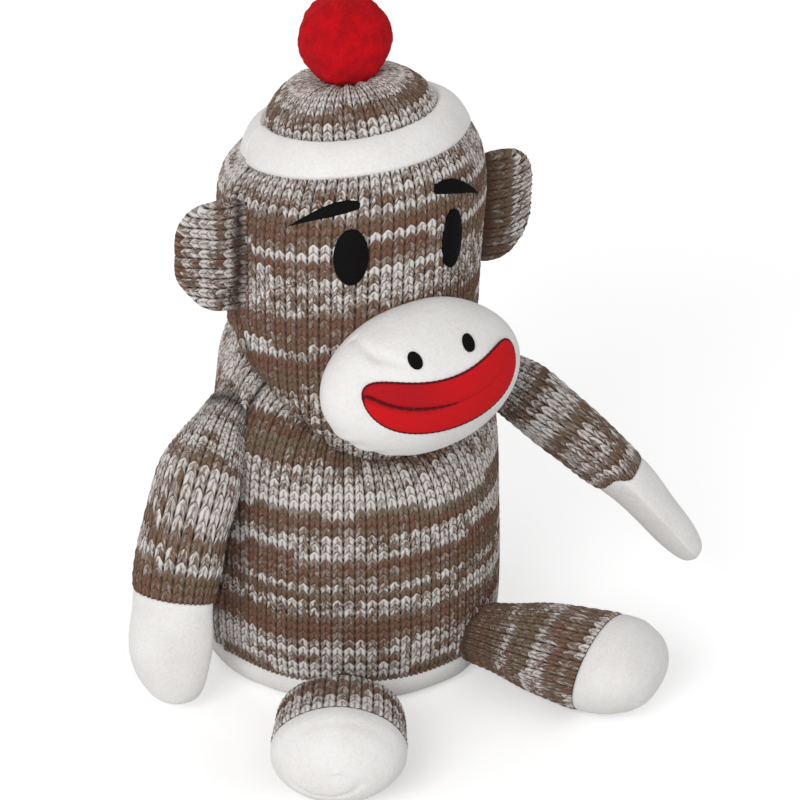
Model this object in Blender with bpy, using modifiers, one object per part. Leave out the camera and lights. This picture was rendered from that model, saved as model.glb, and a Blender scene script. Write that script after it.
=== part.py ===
"""Seated sock monkey doll: knitted skins over fibre, white fleece ends, sewn-on face and hat.

Metres, +Z up. The doll sits on the plane Z = 0 with the middle of its round base at the origin.
It faces -Y, so its own right side is -X. Each cloth piece, stuffing wad and applique is one object.
"""
import math

import bmesh
import bpy
from mathutils import Matrix, Vector

# Cloth, thread and clearances
KNIT_WALL = 0.0018
FLEECE_WALL = 0.0016
FELT_WALL = 0.0012
THREAD = 0.0010
GAP = 0.0003
RUNNING_GAP = 0.0005
FIBRE_GAP = 0.0007
HIDDEN_SEAM_GAP = 0.0009
OVERRUN = 0.004

# Body: a knitted tube on a round white base, front and back panels sewn at the sides
BODY_RADIUS = 0.0575
HEM_TUCK = 0.0019
HEM_HEIGHT = 0.010
BASE_ROUNDING = 0.0096
SHOULDER_HEIGHT = 0.106
SEAM_ANGLE = math.radians(80)
HEM_RADIUS = BODY_RADIUS - HEM_TUCK
BASE_FLAT_RADIUS = HEM_RADIUS - BASE_ROUNDING

# Outline of the body from hem to neck: share of the way from the neck opening to the full radius,
# and of the height
BODY_OUTLINE_SHARES = (
    (0.985, 0.05), (1.0, 0.17), (0.985, 0.38), (0.945, 0.60), (0.915, 0.74),
    (0.855, 0.83), (0.71, 0.91), (0.46, 0.965), (0.2, 0.993), (0.0, 1.0),
)

# Neck: a firm ball of fibre, with its centre on the nod axis
NECK_BALL_RADIUS = 0.034
NECK_RISE = 0.016
NECK_TAIL = 0.006

# Bag of pellets in the bottom
PELLET_BAG_EASE = 0.008
PELLET_BAG_HEIGHT = 0.022
PELLET_BAG_ROUNDING = 0.6

# Head: rises from a rim round the neck ball to the ring where the hat starts
HEAD_RADIUS = 0.0486
HEAD_RIM_EASE = 0.0025
HEAD_RIM_LIFT = 0.0085
HEAD_HEIGHT = 0.0929
# Outline of the head from rim to hat ring: share of the way from rim to full radius, of the height,
# of the hat's offset and of the hat's tilt
HEAD_OUTLINE_SHARES = (
    (0.0, 0.0, 0.0, 0.0), (0.33, 0.047, 0.0, 0.0), (0.63, 0.122, 0.0, 0.0), (0.82, 0.234, 0.0, 0.0),
    (0.90, 0.355, 0.05, 0.0), (0.94, 0.49, 0.15, 0.0), (0.975, 0.62, 0.25, 0.05),
    (1.0, 0.737, 0.4, 0.15), (0.975, 0.829, 0.55, 0.3), (0.85, 0.904, 0.75, 0.55),
    (0.645, 0.958, 0.9, 0.8),
)

# Hat: crown, band and pompom share one tilted axis
HAT_OFFSET_X = 0.0023
HAT_OFFSET_Y = 0.0
HAT_PITCH = math.radians(-4)
HAT_ROLL = math.radians(6)
HAT_RADIUS_SHARE = 0.842
CROWN_HEIGHT = 0.0262
# Outline of the crown from its ring to its top: share of the ring's radius and of the crown's height
CROWN_OUTLINE_SHARES = (
    (1.0, 0.0), (0.94, 0.10), (0.86, 0.24), (0.78, 0.37), (0.755, 0.47), (0.72, 0.58), (0.65, 0.70),
    (0.55, 0.81), (0.43, 0.90), (0.29, 0.96), (0.13, 0.985), (0.0, 1.0),
)
CROWN_DIMPLE = 0.0058
CROWN_DIMPLE_RADIUS = 0.012
CROWN_SEAM_STEP = 2
NEAR_TOP_SHARE = 0.9
BAND_WALL = 0.0024
BAND_START_STEP = 0.1
BAND_END_STEP = 3
POMPOM_RADIUS = 0.0170

# Ears: half-round pads that turn about their root edge
EAR_REACH = 0.0225
EAR_HALF_HEIGHT = 0.0235
EAR_HALF_THICKNESS = 0.0052
EAR_ROOT_RADIUS = 0.0030
EAR_RISE_SHARE = 0.630
EAR_SWEEP = math.radians(8)
# Shares of an ear's reach, half height and half thickness, from root to tip
EAR_OUTLINE_SHARES = (
    (0.16, 0.95, 0.86), (0.36, 1.0, 1.0), (0.58, 0.93, 0.98), (0.78, 0.75, 0.84), (0.92, 0.5, 0.62),
    (0.985, 0.24, 0.3),
)
EAR_ROOT_HEIGHT_SHARE = 0.86

# Muzzle: a white dome, sewn on slightly askew
MUZZLE_HALF_WIDTH = 0.039
MUZZLE_HALF_HEIGHT = 0.0277
MUZZLE_FRONT_DEPTH = 0.025
MUZZLE_BACK_DEPTH = 0.040
MUZZLE_STAND_OFF = 0.0064
MUZZLE_RISE_SHARE = 0.210
MUZZLE_ROLL = math.radians(6)
MUZZLE_SLICE_DEGREES = (-58, -42, -26, -10, 6, 22, 38, 54, 68, 80)

# Mouth and nostrils: shares of the muzzle's half width and half height
MOUTH_WIDTH_SHARE = 0.785
MOUTH_HEIGHT_SHARE = 0.354
MOUTH_CURL_SHARE = 0.256
MOUTH_DROP_SHARE = 0.018
MOUTH_END_POWER = 5.5
MOUTH_END_SHARE = 0.99
MOUTH_LINE_SHARES = (0.05, 0.5)
NOSTRIL_APART_SHARE = 0.277
NOSTRIL_RISE_SHARE = 0.628
NOSTRIL_WIDTH = 0.0050
NOSTRIL_HEIGHT = 0.0068

# Eyes and eyebrows: how high they stand is a share of the head's height
EYES_TURN = math.radians(-4.4)
EYE_ANGLE = math.radians(23.6)
EYE_RISE_SHARE = 0.711
EYE_WIDTH = 0.0120
EYE_TALL = 0.0215
BROWS_TURN = math.radians(-8)
BROW_INNER_ANGLE = math.radians(17)
BROW_OUTER_ANGLE = math.radians(46.5)
BROW_RISE_SHARE = 0.913
BROW_DROP = 0.0080
BROW_THICKNESS = 0.0034
BROW_END_SHARE = 0.12

# Arms: gathered to a small round root in the side seam, flattened tubes with a white hand
ARM_ROOT_RADIUS = 0.0105
ARM_ROOT_INSET = 0.007
ARM_ROOT_FORWARD = 0.002
ARM_ROOT_RISE = 0.0025
ARM_LENGTH = 0.12
ARM_HALF_WIDTH = 0.0158
ARM_HALF_THICKNESS = 0.0118
ARM_HAND_SHARE = 0.62
ARM_OUTLINE_SHARES = (
    (0.075, 0.59, 0.73), (0.14, 0.80, 0.81), (0.22, 0.96, 0.95), (0.34, 1.0, 1.0), (0.48, 1.0, 0.95),
    (ARM_HAND_SHARE, 0.985, 0.80), (0.78, 1.0, 0.70), (0.89, 0.91, 0.62), (0.96, 0.66, 0.47),
    (0.99, 0.36, 0.28),
)
# Middle line of each arm: places to the side, forward and down from its root, as shares of its length
RIGHT_ARM_LINE_SHARES = (
    (0, 0, 0), (0.1125, 0.071, 0.083), (0.208, 0.121, 0.25),
    (0.275, 0.15, 0.458), (0.30, 0.1625, 0.667), (0.296, 0.1625, 0.871),
)
LEFT_ARM_LINE_SHARES = (
    (0, 0, 0), (0.121, 0.0875, 0.0875), (0.256, 0.204, 0.223),
    (0.386, 0.3125, 0.359), (0.4925, 0.404, 0.4965), (0.58, 0.483, 0.632),
)
ARM_HINGE_TURN = math.radians(43)

# Legs: straight out from the front of the base, splayed, lying on the floor
LEG_SPLAY = math.radians(29.7)
LEG_ROOT_RADIUS = 0.0135
LEG_ROOT_STAND_OFF = 0.0005
LEG_ROOT_HEIGHT = 0.0185
LEG_LENGTH = 0.0825
LEG_HALF_WIDTH = 0.0242
LEG_HALF_HEIGHT = 0.0187
LEG_FOOT_SHARE = 0.63
LEG_OUTLINE_SHARES = (
    (0.118, 0.53, 0.62), (0.21, 0.69, 0.74), (0.34, 0.83, 0.83), (0.47, 0.92, 0.935),
    (LEG_FOOT_SHARE, 0.98, 0.99), (0.72, 1.0, 1.0), (0.81, 0.965, 0.935), (0.90, 0.81, 0.74),
    (0.955, 0.58, 0.525), (0.988, 0.31, 0.28),
)
# Middle line of a leg, in shares of its length: out from the root, and up from the straight line
LEG_LINE_SHARES = (
    (0.0, 0.0), (0.12, -0.016), (0.21, -0.026), (0.34, -0.028), (0.47, -0.014), (0.63, 0.0),
    (0.81, 0.024), (0.90, 0.055), (1.0, 0.085),
)
FLOOR_FLAT = 0.0005
LIMB_ROOT_DEGREES = (-66, -42, -18, 6, 30)

# How finely round shapes are divided
BODY_SIDES = 24
BASE_STEPS = 4
PELLET_BAG_STEPS = 10
BAND_STEPS = 5
EAR_ROOT_STEPS = 3
LIMB_CURVE_STEPS = 6
MUZZLE_SIDES = 20
LIMB_SIDES = 12
EAR_SIDES = 12
PATCH_SIDES = 14
STRIP_COLUMNS = 14

RIGHT = -1
LEFT = 1
SIDE_NAMES = {RIGHT: "right", LEFT: "left"}

KNIT_COLOUR = (0.36, 0.29, 0.24)
WHITE_COLOUR = (0.87, 0.85, 0.83)
FIBRE_COLOUR = (0.92, 0.92, 0.90)
PELLET_COLOUR = (0.75, 0.72, 0.62)
RED_COLOUR = (0.70, 0.02, 0.025)
DARK_RED_COLOUR = (0.28, 0.01, 0.015)
BLACK_COLOUR = (0.015, 0.013, 0.012)


class Section:
    """One flat oval slice of a stuffed form: its middle, its axes, its half width and half depth."""

    def __init__(self, middle, axes, wide, deep):
        self.middle = Vector(middle)
        self.axes = axes
        self.wide = wide
        self.deep = deep

    def point(self, angle):
        across = Vector((self.wide * math.sin(angle), -self.deep * math.cos(angle), 0))
        return self.middle + self.axes @ across

    def along(self):
        return self.axes @ Vector((0, 0, 1))


def clear_scene():
    for item in list(bpy.data.objects):
        bpy.data.objects.remove(item, do_unlink=True)


def new_collection(name):
    collection = bpy.data.collections.new(name)
    bpy.context.scene.collection.children.link(collection)
    return collection


def finish(name, colour, roughness=0.9):
    material = bpy.data.materials.new(name)
    material.use_nodes = True
    shader = material.node_tree.nodes["Principled BSDF"]
    shader.inputs["Base Color"].default_value = (*colour, 1)
    shader.inputs["Roughness"].default_value = roughness
    shader.inputs["Metallic"].default_value = 0
    return material


def carry(pivot, item):
    """Hang an item on a pivot and leave it where it is."""
    item.parent = pivot
    item.matrix_parent_inverse = pivot.matrix_world.inverted()


def pivot_at(name, location, parent=None):
    """An empty on a joint's axis, which carries the pieces that move about it."""
    pivot = bpy.data.objects.new(name, None)
    DOLL.objects.link(pivot)
    pivot.matrix_world = Matrix.Translation(location)
    if parent is not None:
        carry(parent, pivot)
    return pivot


def place(name, mesh, colour, pivot=None, matrix=None):
    """Link a mesh as a named piece of the doll, shaded smooth, with its own material."""
    piece = bpy.data.objects.new(name, mesh)
    DOLL.objects.link(piece)
    if matrix is not None:
        piece.matrix_world = matrix
    if pivot is not None:
        carry(pivot, piece)
    mesh.materials.append(finish(name + "_finish", colour))
    mesh.shade_smooth()
    return piece


def cutter(name, mesh, matrix=None, pivot=None):
    """Link a mesh as a cutter, which shapes other pieces and is not itself a piece."""
    tool = bpy.data.objects.new(name, mesh)
    CUTTERS.objects.link(tool)
    if matrix is not None:
        tool.matrix_world = matrix
    if pivot is not None:
        carry(pivot, tool)
    tool.hide_render = True
    tool.display_type = "WIRE"
    return tool


def cut(piece, *tools):
    for tool in tools:
        boolean = piece.modifiers.new("cut_by_" + tool.name, "BOOLEAN")
        boolean.operation = "DIFFERENCE"
        boolean.object = tool


def thicken(piece, wall, side):
    """Give an open surface its cloth thickness: side -1 grows inward, 1 outward."""
    solidify = piece.modifiers.new("cloth", "SOLIDIFY")
    solidify.thickness = wall
    solidify.offset = side
    solidify.use_even_offset = True


def screw(piece, sides):
    turn = piece.modifiers.new("turn", "SCREW")
    turn.steps = sides
    turn.render_steps = sides
    turn.use_merge_vertices = True
    turn.merge_threshold = GAP / 10


def profile_mesh(name, points, closed=False):
    """A mesh of edges through (radius, height) points, for the Screw modifier."""
    build = bmesh.new()
    corners = [build.verts.new((radius, 0, height)) for radius, height in points]
    pairs = list(zip(corners, corners[1:]))
    if closed:
        pairs.append((corners[-1], corners[0]))
    for first, second in pairs:
        build.edges.new((first, second))
    mesh = bpy.data.meshes.new(name)
    build.to_mesh(mesh)
    build.free()
    return mesh


def surface_mesh(name, rows, joined=False, start_cap=False, end_cap=False, floor=None):
    """A grid of faces through rows of points, one row for each section.

    joined closes each row on itself. A cap closes an end row with a fan about its middle.
    floor flattens what would reach below that height.
    """
    build = bmesh.new()
    grid = [[build.verts.new(point) for point in row] for row in rows]
    columns = len(rows[0])
    last = columns if joined else columns - 1
    for lower, upper in zip(grid, grid[1:]):
        for column in range(last):
            following = (column + 1) % columns
            build.faces.new((lower[column], lower[following], upper[following], upper[column]))
    for wanted, ring, forward in ((start_cap, grid[0], False), (end_cap, grid[-1], True)):
        if not wanted:
            continue
        middle = build.verts.new(sum((vertex.co for vertex in ring), Vector()) / columns)
        for column in range(columns):
            pair = (ring[column], ring[(column + 1) % columns])
            build.faces.new((*pair, middle) if forward else (*reversed(pair), middle))
    if floor is not None:
        for vertex in build.verts:
            vertex.co.z = max(vertex.co.z, floor)
    build.normal_update()
    mesh = bpy.data.meshes.new(name)
    build.to_mesh(mesh)
    build.free()
    return mesh


def ball_mesh(name, radius):
    build = bmesh.new()
    bmesh.ops.create_uvsphere(build, u_segments=BODY_SIDES, v_segments=BODY_SIDES // 2, radius=radius)
    mesh = bpy.data.meshes.new(name)
    build.to_mesh(mesh)
    build.free()
    return mesh


def smooth_points(points, steps):
    """Points on a smooth curve that passes through every given point (Catmull-Rom)."""
    given = [Vector(point) for point in points]
    ends = [given[0] * 2 - given[1], *given, given[-1] * 2 - given[-2]]
    curve = []
    for before, start, end, after in zip(ends, ends[1:], ends[2:], ends[3:]):
        for step in range(steps):
            t = step / steps
            straight = start * 2 + (end - before) * t
            bend = (before * 2 - start * 5 + end * 4 - after) * t * t
            turn = (start * 3 - before - end * 3 + after) * t * t * t
            curve.append((straight + bend + turn) / 2)
    return [*curve, given[-1]]


def inset(sections, wall):
    """The same closed form, drawn in by a wall measured square to its surface and its flat ends.

    A negative wall grows it. Slices that would vanish are left out.
    """
    moved = []
    last = len(sections) - 1
    for index, section in enumerate(sections):
        before = sections[max(index - 1, 0)]
        after = sections[min(index + 1, last)]
        rise = (after.middle - before.middle).dot(section.along())
        slopes = []
        for spread in (after.wide - before.wide, after.deep - before.deep):
            length = math.hypot(rise, spread)
            out, up = rise / length, -spread / length
            if index in (0, last):
                out = (1 - abs(up)) / out
                up = 1 if index else -1
            slopes.append((out, up))
        wide = section.wide - wall * slopes[0][0]
        deep = section.deep - wall * slopes[1][0]
        if min(wide, deep) > abs(wall) / 2:
            up = max((slope[1] for slope in slopes), key=abs)
            moved.append(Section(section.middle - section.along() * wall * up, section.axes, wide, deep))
    return moved


def rows_at(sections, angles):
    return [[section.point(angle) for angle in angles] for section in sections]


def even_angles(sides):
    return [2 * math.pi * side / sides for side in range(sides)]


def panel_angles():
    """Angles of the front panel's columns and of the back panel's, both from seam to seam."""
    front_sides = round(BODY_SIDES * SEAM_ANGLE / math.pi)
    back_sides = BODY_SIDES - front_sides
    back_span = 2 * math.pi - 2 * SEAM_ANGLE
    front = [SEAM_ANGLE * (2 * side / front_sides - 1) for side in range(front_sides + 1)]
    back = [SEAM_ANGLE + back_span * side / back_sides for side in range(back_sides + 1)]
    return front, back


def around_panels():
    """Angles of both panels' columns, once round, for what lies against their insides."""
    front, back = panel_angles()
    return [*front, *back[1:-1]]


def solid_form(name, sections, angles, colour, pivot=None, floor=None):
    """A closed stuffed form through its sections."""
    mesh = surface_mesh(name, rows_at(sections, angles), True, True, True, floor)
    return place(name, mesh, colour, pivot)


def side_panels(part, sections, pivot=None):
    """The front and back panels of a knitted tube, which meet at the two side seams."""
    panels = []
    widest = max(section.wide for section in sections)
    ease = (GAP / 2 + KNIT_WALL * math.sin(math.pi / BODY_SIDES)) / widest
    for side, angles in zip(("front", "back"), panel_angles()):
        columns = [angles[0] + ease, *angles[1:-1], angles[-1] - ease]
        name = f"{part}_{side}_panel"
        panel = place(name, surface_mesh(name, rows_at(sections, columns)), KNIT_COLOUR, pivot)
        thicken(panel, KNIT_WALL, -1)
        panels.append(panel)
    return panels


def upright(height, offset=0.0):
    """Middle of a section at a height, moved along the hat's offset by a share."""
    return Vector((HAT_OFFSET_X * offset, HAT_OFFSET_Y * offset, height))


def tilt(share):
    """Axes leaned by a share of the hat's pitch and roll."""
    return Matrix.Rotation(-HAT_ROLL * share, 3, "Y") @ Matrix.Rotation(HAT_PITCH * share, 3, "X")


def neck_opening():
    """Radius of the hole in the top of the body where the neck ball comes through."""
    return math.sqrt(NECK_BALL_RADIUS ** 2 - NECK_RISE ** 2) + RUNNING_GAP


def base_sections():
    """The round white base from its flat to the hem."""
    level = Matrix.Identity(3)
    sections = []
    for step in range(BASE_STEPS + 1):
        angle = math.pi / 2 * step / BASE_STEPS
        radius = BASE_FLAT_RADIUS + (HEM_RADIUS - BASE_FLAT_RADIUS) * math.sin(angle)
        sections.append(Section((0, 0, HEM_HEIGHT * (1 - math.cos(angle))), level, radius, radius))
    return sections


def body_sections():
    """The knitted body from the hem to the neck opening."""
    level = Matrix.Identity(3)
    opening = neck_opening()
    sections = [Section((0, 0, HEM_HEIGHT), level, HEM_RADIUS, HEM_RADIUS)]
    for radius_share, height_share in BODY_OUTLINE_SHARES:
        radius = opening + (BODY_RADIUS - opening) * radius_share
        height = HEM_HEIGHT + (SHOULDER_HEIGHT - HEM_HEIGHT) * height_share
        sections.append(Section((0, 0, height), level, radius, radius))
    return sections


def head_height_at(share):
    """Height over the floor of a place at a share of the head's height."""
    return SHOULDER_HEIGHT + HEAD_RIM_LIFT + HEAD_HEIGHT * share


def head_rim_radius():
    return NECK_BALL_RADIUS + HEAD_RIM_EASE


def head_sections():
    """The knitted head from its rim at the neck to just under the hat band."""
    sections = []
    for radius_share, height_share, offset_share, tilt_share in HEAD_OUTLINE_SHARES:
        radius = head_rim_radius() + (HEAD_RADIUS - head_rim_radius()) * radius_share
        middle = upright(head_height_at(height_share), offset_share)
        sections.append(Section(middle, tilt(tilt_share), radius, radius))
    sections.extend(crown_section(step) for step in range(CROWN_SEAM_STEP))
    below, seam = [Vector(crown_point(step)) for step in (CROWN_SEAM_STEP - 1, CROWN_SEAM_STEP)]
    sections.append(crown_section(CROWN_SEAM_STEP - HIDDEN_SEAM_GAP / (seam - below).length))
    return sections


def hat_matrix():
    return Matrix.Translation(upright(head_height_at(1), 1)) @ tilt(1).to_4x4()


def hat_radius():
    return HEAD_RADIUS * HAT_RADIUS_SHARE


def crown_point(step, outward=0.0):
    """A (radius, height) point of the crown's outline, on the hat's axis, steps up from its ring."""
    last = len(CROWN_OUTLINE_SHARES) - 1

    def outline(place):
        index = min(int(place), last - 1)
        low, high = [Vector(pair) for pair in CROWN_OUTLINE_SHARES[index:index + 2]]
        radius, height = low.lerp(high, place - index)
        return Vector((hat_radius() * radius, CROWN_HEIGHT * height))

    radius, height = outline(step)
    rise = outline(min(step + 0.5, last)) - outline(max(step - 0.5, 0))
    square = Vector((rise.y, -rise.x)).normalized() * outward
    dimple = CROWN_DIMPLE * math.exp(-((radius / CROWN_DIMPLE_RADIUS) ** 2))
    return radius + square.x, height - dimple + square.y


def crown_section(step):
    radius, height = crown_point(step)
    matrix = hat_matrix()
    return Section(matrix @ Vector((0, 0, height)), tilt(1), radius, radius)


def make_body():
    base = base_sections()
    body = body_sections()
    panels = side_panels("body", body)

    rim_points = [(section.wide, section.middle.z) for section in base[:-1]]
    rim_points.append((HEM_RADIUS, HEM_HEIGHT - GAP))
    profile = [*reversed(rim_points), (0, 0)]
    bottom = place("base_panel", profile_mesh("base_panel", profile), WHITE_COLOUR)
    screw(bottom, BODY_SIDES)
    thicken(bottom, FLEECE_WALL, -1)

    inside = inset([*base, *body[1:]], KNIT_WALL + FIBRE_GAP)
    stuffing = solid_form("body_stuffing", inside, around_panels(), FIBRE_COLOUR)

    floor = KNIT_WALL + GAP
    bag = pellet_profile(0, floor)
    pellets = place("pellet_bag", profile_mesh("pellet_bag", bag), PELLET_COLOUR)
    screw(pellets, BODY_SIDES)
    pocket = cutter("pellet_pocket", profile_mesh("pellet_pocket", pellet_profile(GAP, floor)))
    screw(pocket, BODY_SIDES)

    ball = ball_mesh("neck_stuffing", NECK_BALL_RADIUS)
    neck = place("neck_stuffing", ball, FIBRE_COLOUR, matrix=neck_matrix())
    tail = SHOULDER_HEIGHT - NECK_TAIL
    half = NECK_BALL_RADIUS
    cut(neck, block("below_neck", (0, 0, tail - half), half + OVERRUN, half))
    cut(stuffing, pocket, block("above_neck_tail", (0, 0, tail - GAP + half), neck_opening(), half))
    return panels, bottom, stuffing


def block(name, middle, half_width, half_height):
    """A square block cutter about a middle point."""
    build = bmesh.new()
    bmesh.ops.create_cube(build, size=1)
    bmesh.ops.scale(build, vec=(2 * half_width, 2 * half_width, 2 * half_height), verts=build.verts)
    mesh = bpy.data.meshes.new(name)
    build.to_mesh(mesh)
    build.free()
    return cutter(name, mesh, Matrix.Translation(middle))


def neck_matrix():
    return Matrix.Translation((0, 0, SHOULDER_HEIGHT + NECK_RISE))


def pellet_profile(outward, floor):
    """Outline of the flat round bag, from its top to its underside."""
    half = PELLET_BAG_HEIGHT / 2
    widest = BASE_FLAT_RADIUS - PELLET_BAG_EASE + outward
    points = []
    for step in range(PELLET_BAG_STEPS + 1):
        angle = math.pi / 2 - math.pi * step / PELLET_BAG_STEPS
        inner = 0 < step < PELLET_BAG_STEPS
        radius = widest * math.cos(angle) ** PELLET_BAG_ROUNDING if inner else 0
        points.append((radius, floor + half + (half + outward) * math.sin(angle)))
    return points


def neck_cutters(neck):
    """Balls about the neck that clear it for the head's filling and for what hangs under the chin."""
    facet_reach = 1 / math.cos(math.pi / BODY_SIDES)
    space = ball_mesh("neck_space", (NECK_BALL_RADIUS + RUNNING_GAP) * facet_reach)
    chin = ball_mesh("under_chin", math.hypot(head_rim_radius(), NECK_RISE - HEAD_RIM_LIFT) + GAP)
    return [cutter(ball.name, ball, neck_matrix(), neck) for ball in (space, chin)]


def make_head(neck, neck_space):
    sections = head_sections()
    side_panels("head", sections, neck)
    top_step = len(CROWN_OUTLINE_SHARES) - 1
    crown_steps = range(CROWN_SEAM_STEP, top_step)
    dome = [crown_section(step) for step in (*crown_steps, top_step - 1 + NEAR_TOP_SHARE)]
    inside = inset([*sections[:-1], *dome], KNIT_WALL + FIBRE_GAP)
    cut(solid_form("head_stuffing", inside, around_panels(), FIBRE_COLOUR, neck), neck_space)

    points = [*(crown_point(step) for step in crown_steps), (0, crown_point(top_step)[1])]
    outline = profile_mesh("hat_crown", list(reversed(points)))
    crown = place("hat_crown", outline, KNIT_COLOUR, neck, hat_matrix())
    screw(crown, BODY_SIDES)
    thicken(crown, KNIT_WALL, -1)

    reach = BAND_END_STEP - BAND_START_STEP
    band_steps = [BAND_START_STEP + reach * step / BAND_STEPS for step in range(BAND_STEPS + 1)]
    seat = GAP + hat_radius() * (1 - math.cos(math.pi / BODY_SIDES))
    outer = [crown_point(step, seat + BAND_WALL) for step in band_steps[1:-1]]
    inner = [crown_point(step, seat) for step in band_steps]
    band = profile_mesh("hat_band", [*reversed(outer), *inner], closed=True)
    screw(place("hat_band", band, WHITE_COLOUR, neck, hat_matrix()), BODY_SIDES)

    seat = crown_point(top_step)[1] + GAP + POMPOM_RADIUS
    pompom = ball_mesh("pompom", POMPOM_RADIUS)
    place("pompom", pompom, RED_COLOUR, neck, hat_matrix() @ Matrix.Translation((0, 0, seat)))
    return sections


def section_at(sections, height):
    """The head's section at a height, between the two nearest ones."""
    pairs = list(zip(sections, sections[1:]))
    lower, upper = next((pair for pair in pairs if pair[1].middle.z >= height), pairs[-1])
    share = (height - lower.middle.z) / (upper.middle.z - lower.middle.z)
    middle = lower.middle.lerp(upper.middle, share)
    wide = lower.wide + (upper.wide - lower.wide) * share
    deep = lower.deep + (upper.deep - lower.deep) * share
    return Section(middle, lower.axes.lerp(upper.axes, share), wide, deep)


def ear_root(sections, side):
    """The line that an ear folds about, close beside the seam: a point on it, its way up and out."""
    height = head_height_at(EAR_RISE_SHARE)
    half = EAR_HALF_HEIGHT * EAR_ROOT_HEIGHT_SHARE
    low, middle, high = [
        section_at(sections, height + step * half).point(side * SEAM_ANGLE) for step in (-1, 0, 1)
    ]
    up = Vector((high.x - low.x, 0, high.z - low.z)).normalized()
    outward = side * Vector((up.z, 0, -up.x))
    bulge = max((middle - low).dot(outward), 0)
    root = middle + outward * (bulge - (middle - low).dot(outward) + EAR_ROOT_RADIUS + GAP)
    swept = outward * math.cos(EAR_SWEEP) + Vector((0, math.sin(EAR_SWEEP), 0))
    return root, up, swept


def make_ears(neck, head):
    for side, side_name in SIDE_NAMES.items():
        root, up, outward = ear_root(head, side)
        pivot = pivot_at(f"ear_{side_name}_pivot", root, neck)
        axes = Matrix((up, outward.cross(up), outward)).transposed()
        sections = []
        for step in range(1, EAR_ROOT_STEPS + 1):
            angle = -math.pi / 2 * (1 - step / EAR_ROOT_STEPS)
            reach = EAR_ROOT_RADIUS * math.sin(angle)
            height = EAR_HALF_HEIGHT * EAR_ROOT_HEIGHT_SHARE + EAR_ROOT_RADIUS * (math.cos(angle) - 1)
            thick = EAR_ROOT_RADIUS * math.cos(angle)
            sections.append(Section(root + outward * reach, axes, height, thick))
        for reach_share, height_share, thick_share in EAR_OUTLINE_SHARES:
            middle = root + outward * EAR_REACH * reach_share
            half_height = EAR_HALF_HEIGHT * height_share
            sections.append(Section(middle, axes, half_height, EAR_HALF_THICKNESS * thick_share))
        solid_form(f"ear_{side_name}", sections, even_angles(EAR_SIDES), KNIT_COLOUR, pivot)


def muzzle_matrix():
    middle = Vector((0, -HEAD_RADIUS - MUZZLE_STAND_OFF, head_height_at(MUZZLE_RISE_SHARE)))
    return Matrix.Translation(middle) @ Matrix.Rotation(-MUZZLE_ROLL, 4, "Y")


def muzzle_point(x, z, outward=0.0):
    """A point of the muzzle's front at a place across and up from its middle, in doll space."""
    across = x / MUZZLE_HALF_WIDTH
    above = z / MUZZLE_HALF_HEIGHT
    depth = math.sqrt(max(1 - across ** 2 - above ** 2, 0))
    surface = Vector((x, -MUZZLE_FRONT_DEPTH * depth, z))
    square = Vector((across / MUZZLE_HALF_WIDTH, -depth / MUZZLE_FRONT_DEPTH, above / MUZZLE_HALF_HEIGHT))
    return muzzle_matrix() @ (surface + square.normalized() * outward)


def muzzle_sections():
    """Upright slices of the muzzle from the back, inside the head, to the front."""
    matrix = muzzle_matrix()
    axes = matrix.to_3x3() @ Matrix.Rotation(math.pi / 2, 3, "X")
    sections = []
    for degrees in MUZZLE_SLICE_DEGREES:
        angle = math.radians(degrees)
        reach = (MUZZLE_FRONT_DEPTH if degrees > 0 else MUZZLE_BACK_DEPTH) * math.sin(angle)
        wide = MUZZLE_HALF_WIDTH * math.cos(angle)
        high = MUZZLE_HALF_HEIGHT * math.cos(angle)
        sections.append(Section(matrix @ Vector((0, -reach, 0)), axes, wide, high))
    return sections


def make_muzzle(neck, head, under_chin):
    sections = muzzle_sections()
    rows = rows_at(inset(head, -GAP), around_panels())
    face = cutter("face_cutter", surface_mesh("face_cutter", rows, True, True, True), pivot=neck)
    rows = rows_at(sections, even_angles(MUZZLE_SIDES))
    skin = place("muzzle", surface_mesh("muzzle", rows, True, False, True), WHITE_COLOUR, neck)
    thicken(skin, FLEECE_WALL, -1)
    inside = inset(sections, FLEECE_WALL + GAP)
    stuffing = solid_form("muzzle_stuffing", inside, even_angles(MUZZLE_SIDES), FIBRE_COLOUR, neck)
    cut(skin, face, under_chin)
    cut(stuffing, face, under_chin)


def mouth_curves(share):
    """Middle, half height and stitched line of the mouth at a share of its half width."""
    middle = MUZZLE_HALF_HEIGHT * (MOUTH_CURL_SHARE * share ** 2 - MOUTH_DROP_SHARE)
    half = MUZZLE_HALF_HEIGHT * MOUTH_HEIGHT_SHARE * math.sqrt(1 - abs(share) ** MOUTH_END_POWER)
    level, curl = MOUTH_LINE_SHARES
    return middle, half, middle + half * (level + curl * share ** 8)


def lip_patch(name, edges, wall, colour, neck):
    """A strip of cloth on the muzzle between two edges, each a function of the share across."""
    rows = []
    for step in range(STRIP_COLUMNS + 1):
        share = MOUTH_END_SHARE * math.sin(math.pi * (step / STRIP_COLUMNS - 0.5))
        low, high = edges(share)
        x = MUZZLE_HALF_WIDTH * MOUTH_WIDTH_SHARE * share
        rows.append([muzzle_point(x, low + (high - low) * part / 2, GAP) for part in range(3)])
    piece = place(name, surface_mesh(name, rows), colour, neck)
    thicken(piece, wall, turned_out(piece))
    return piece


def turned_out(piece):
    """Side of an open patch that faces away from the doll: 1 if its faces already point out."""
    mesh = piece.data
    normal = mesh.polygons[len(mesh.polygons) // 2].normal
    return 1 if normal.y < 0 else -1


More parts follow.
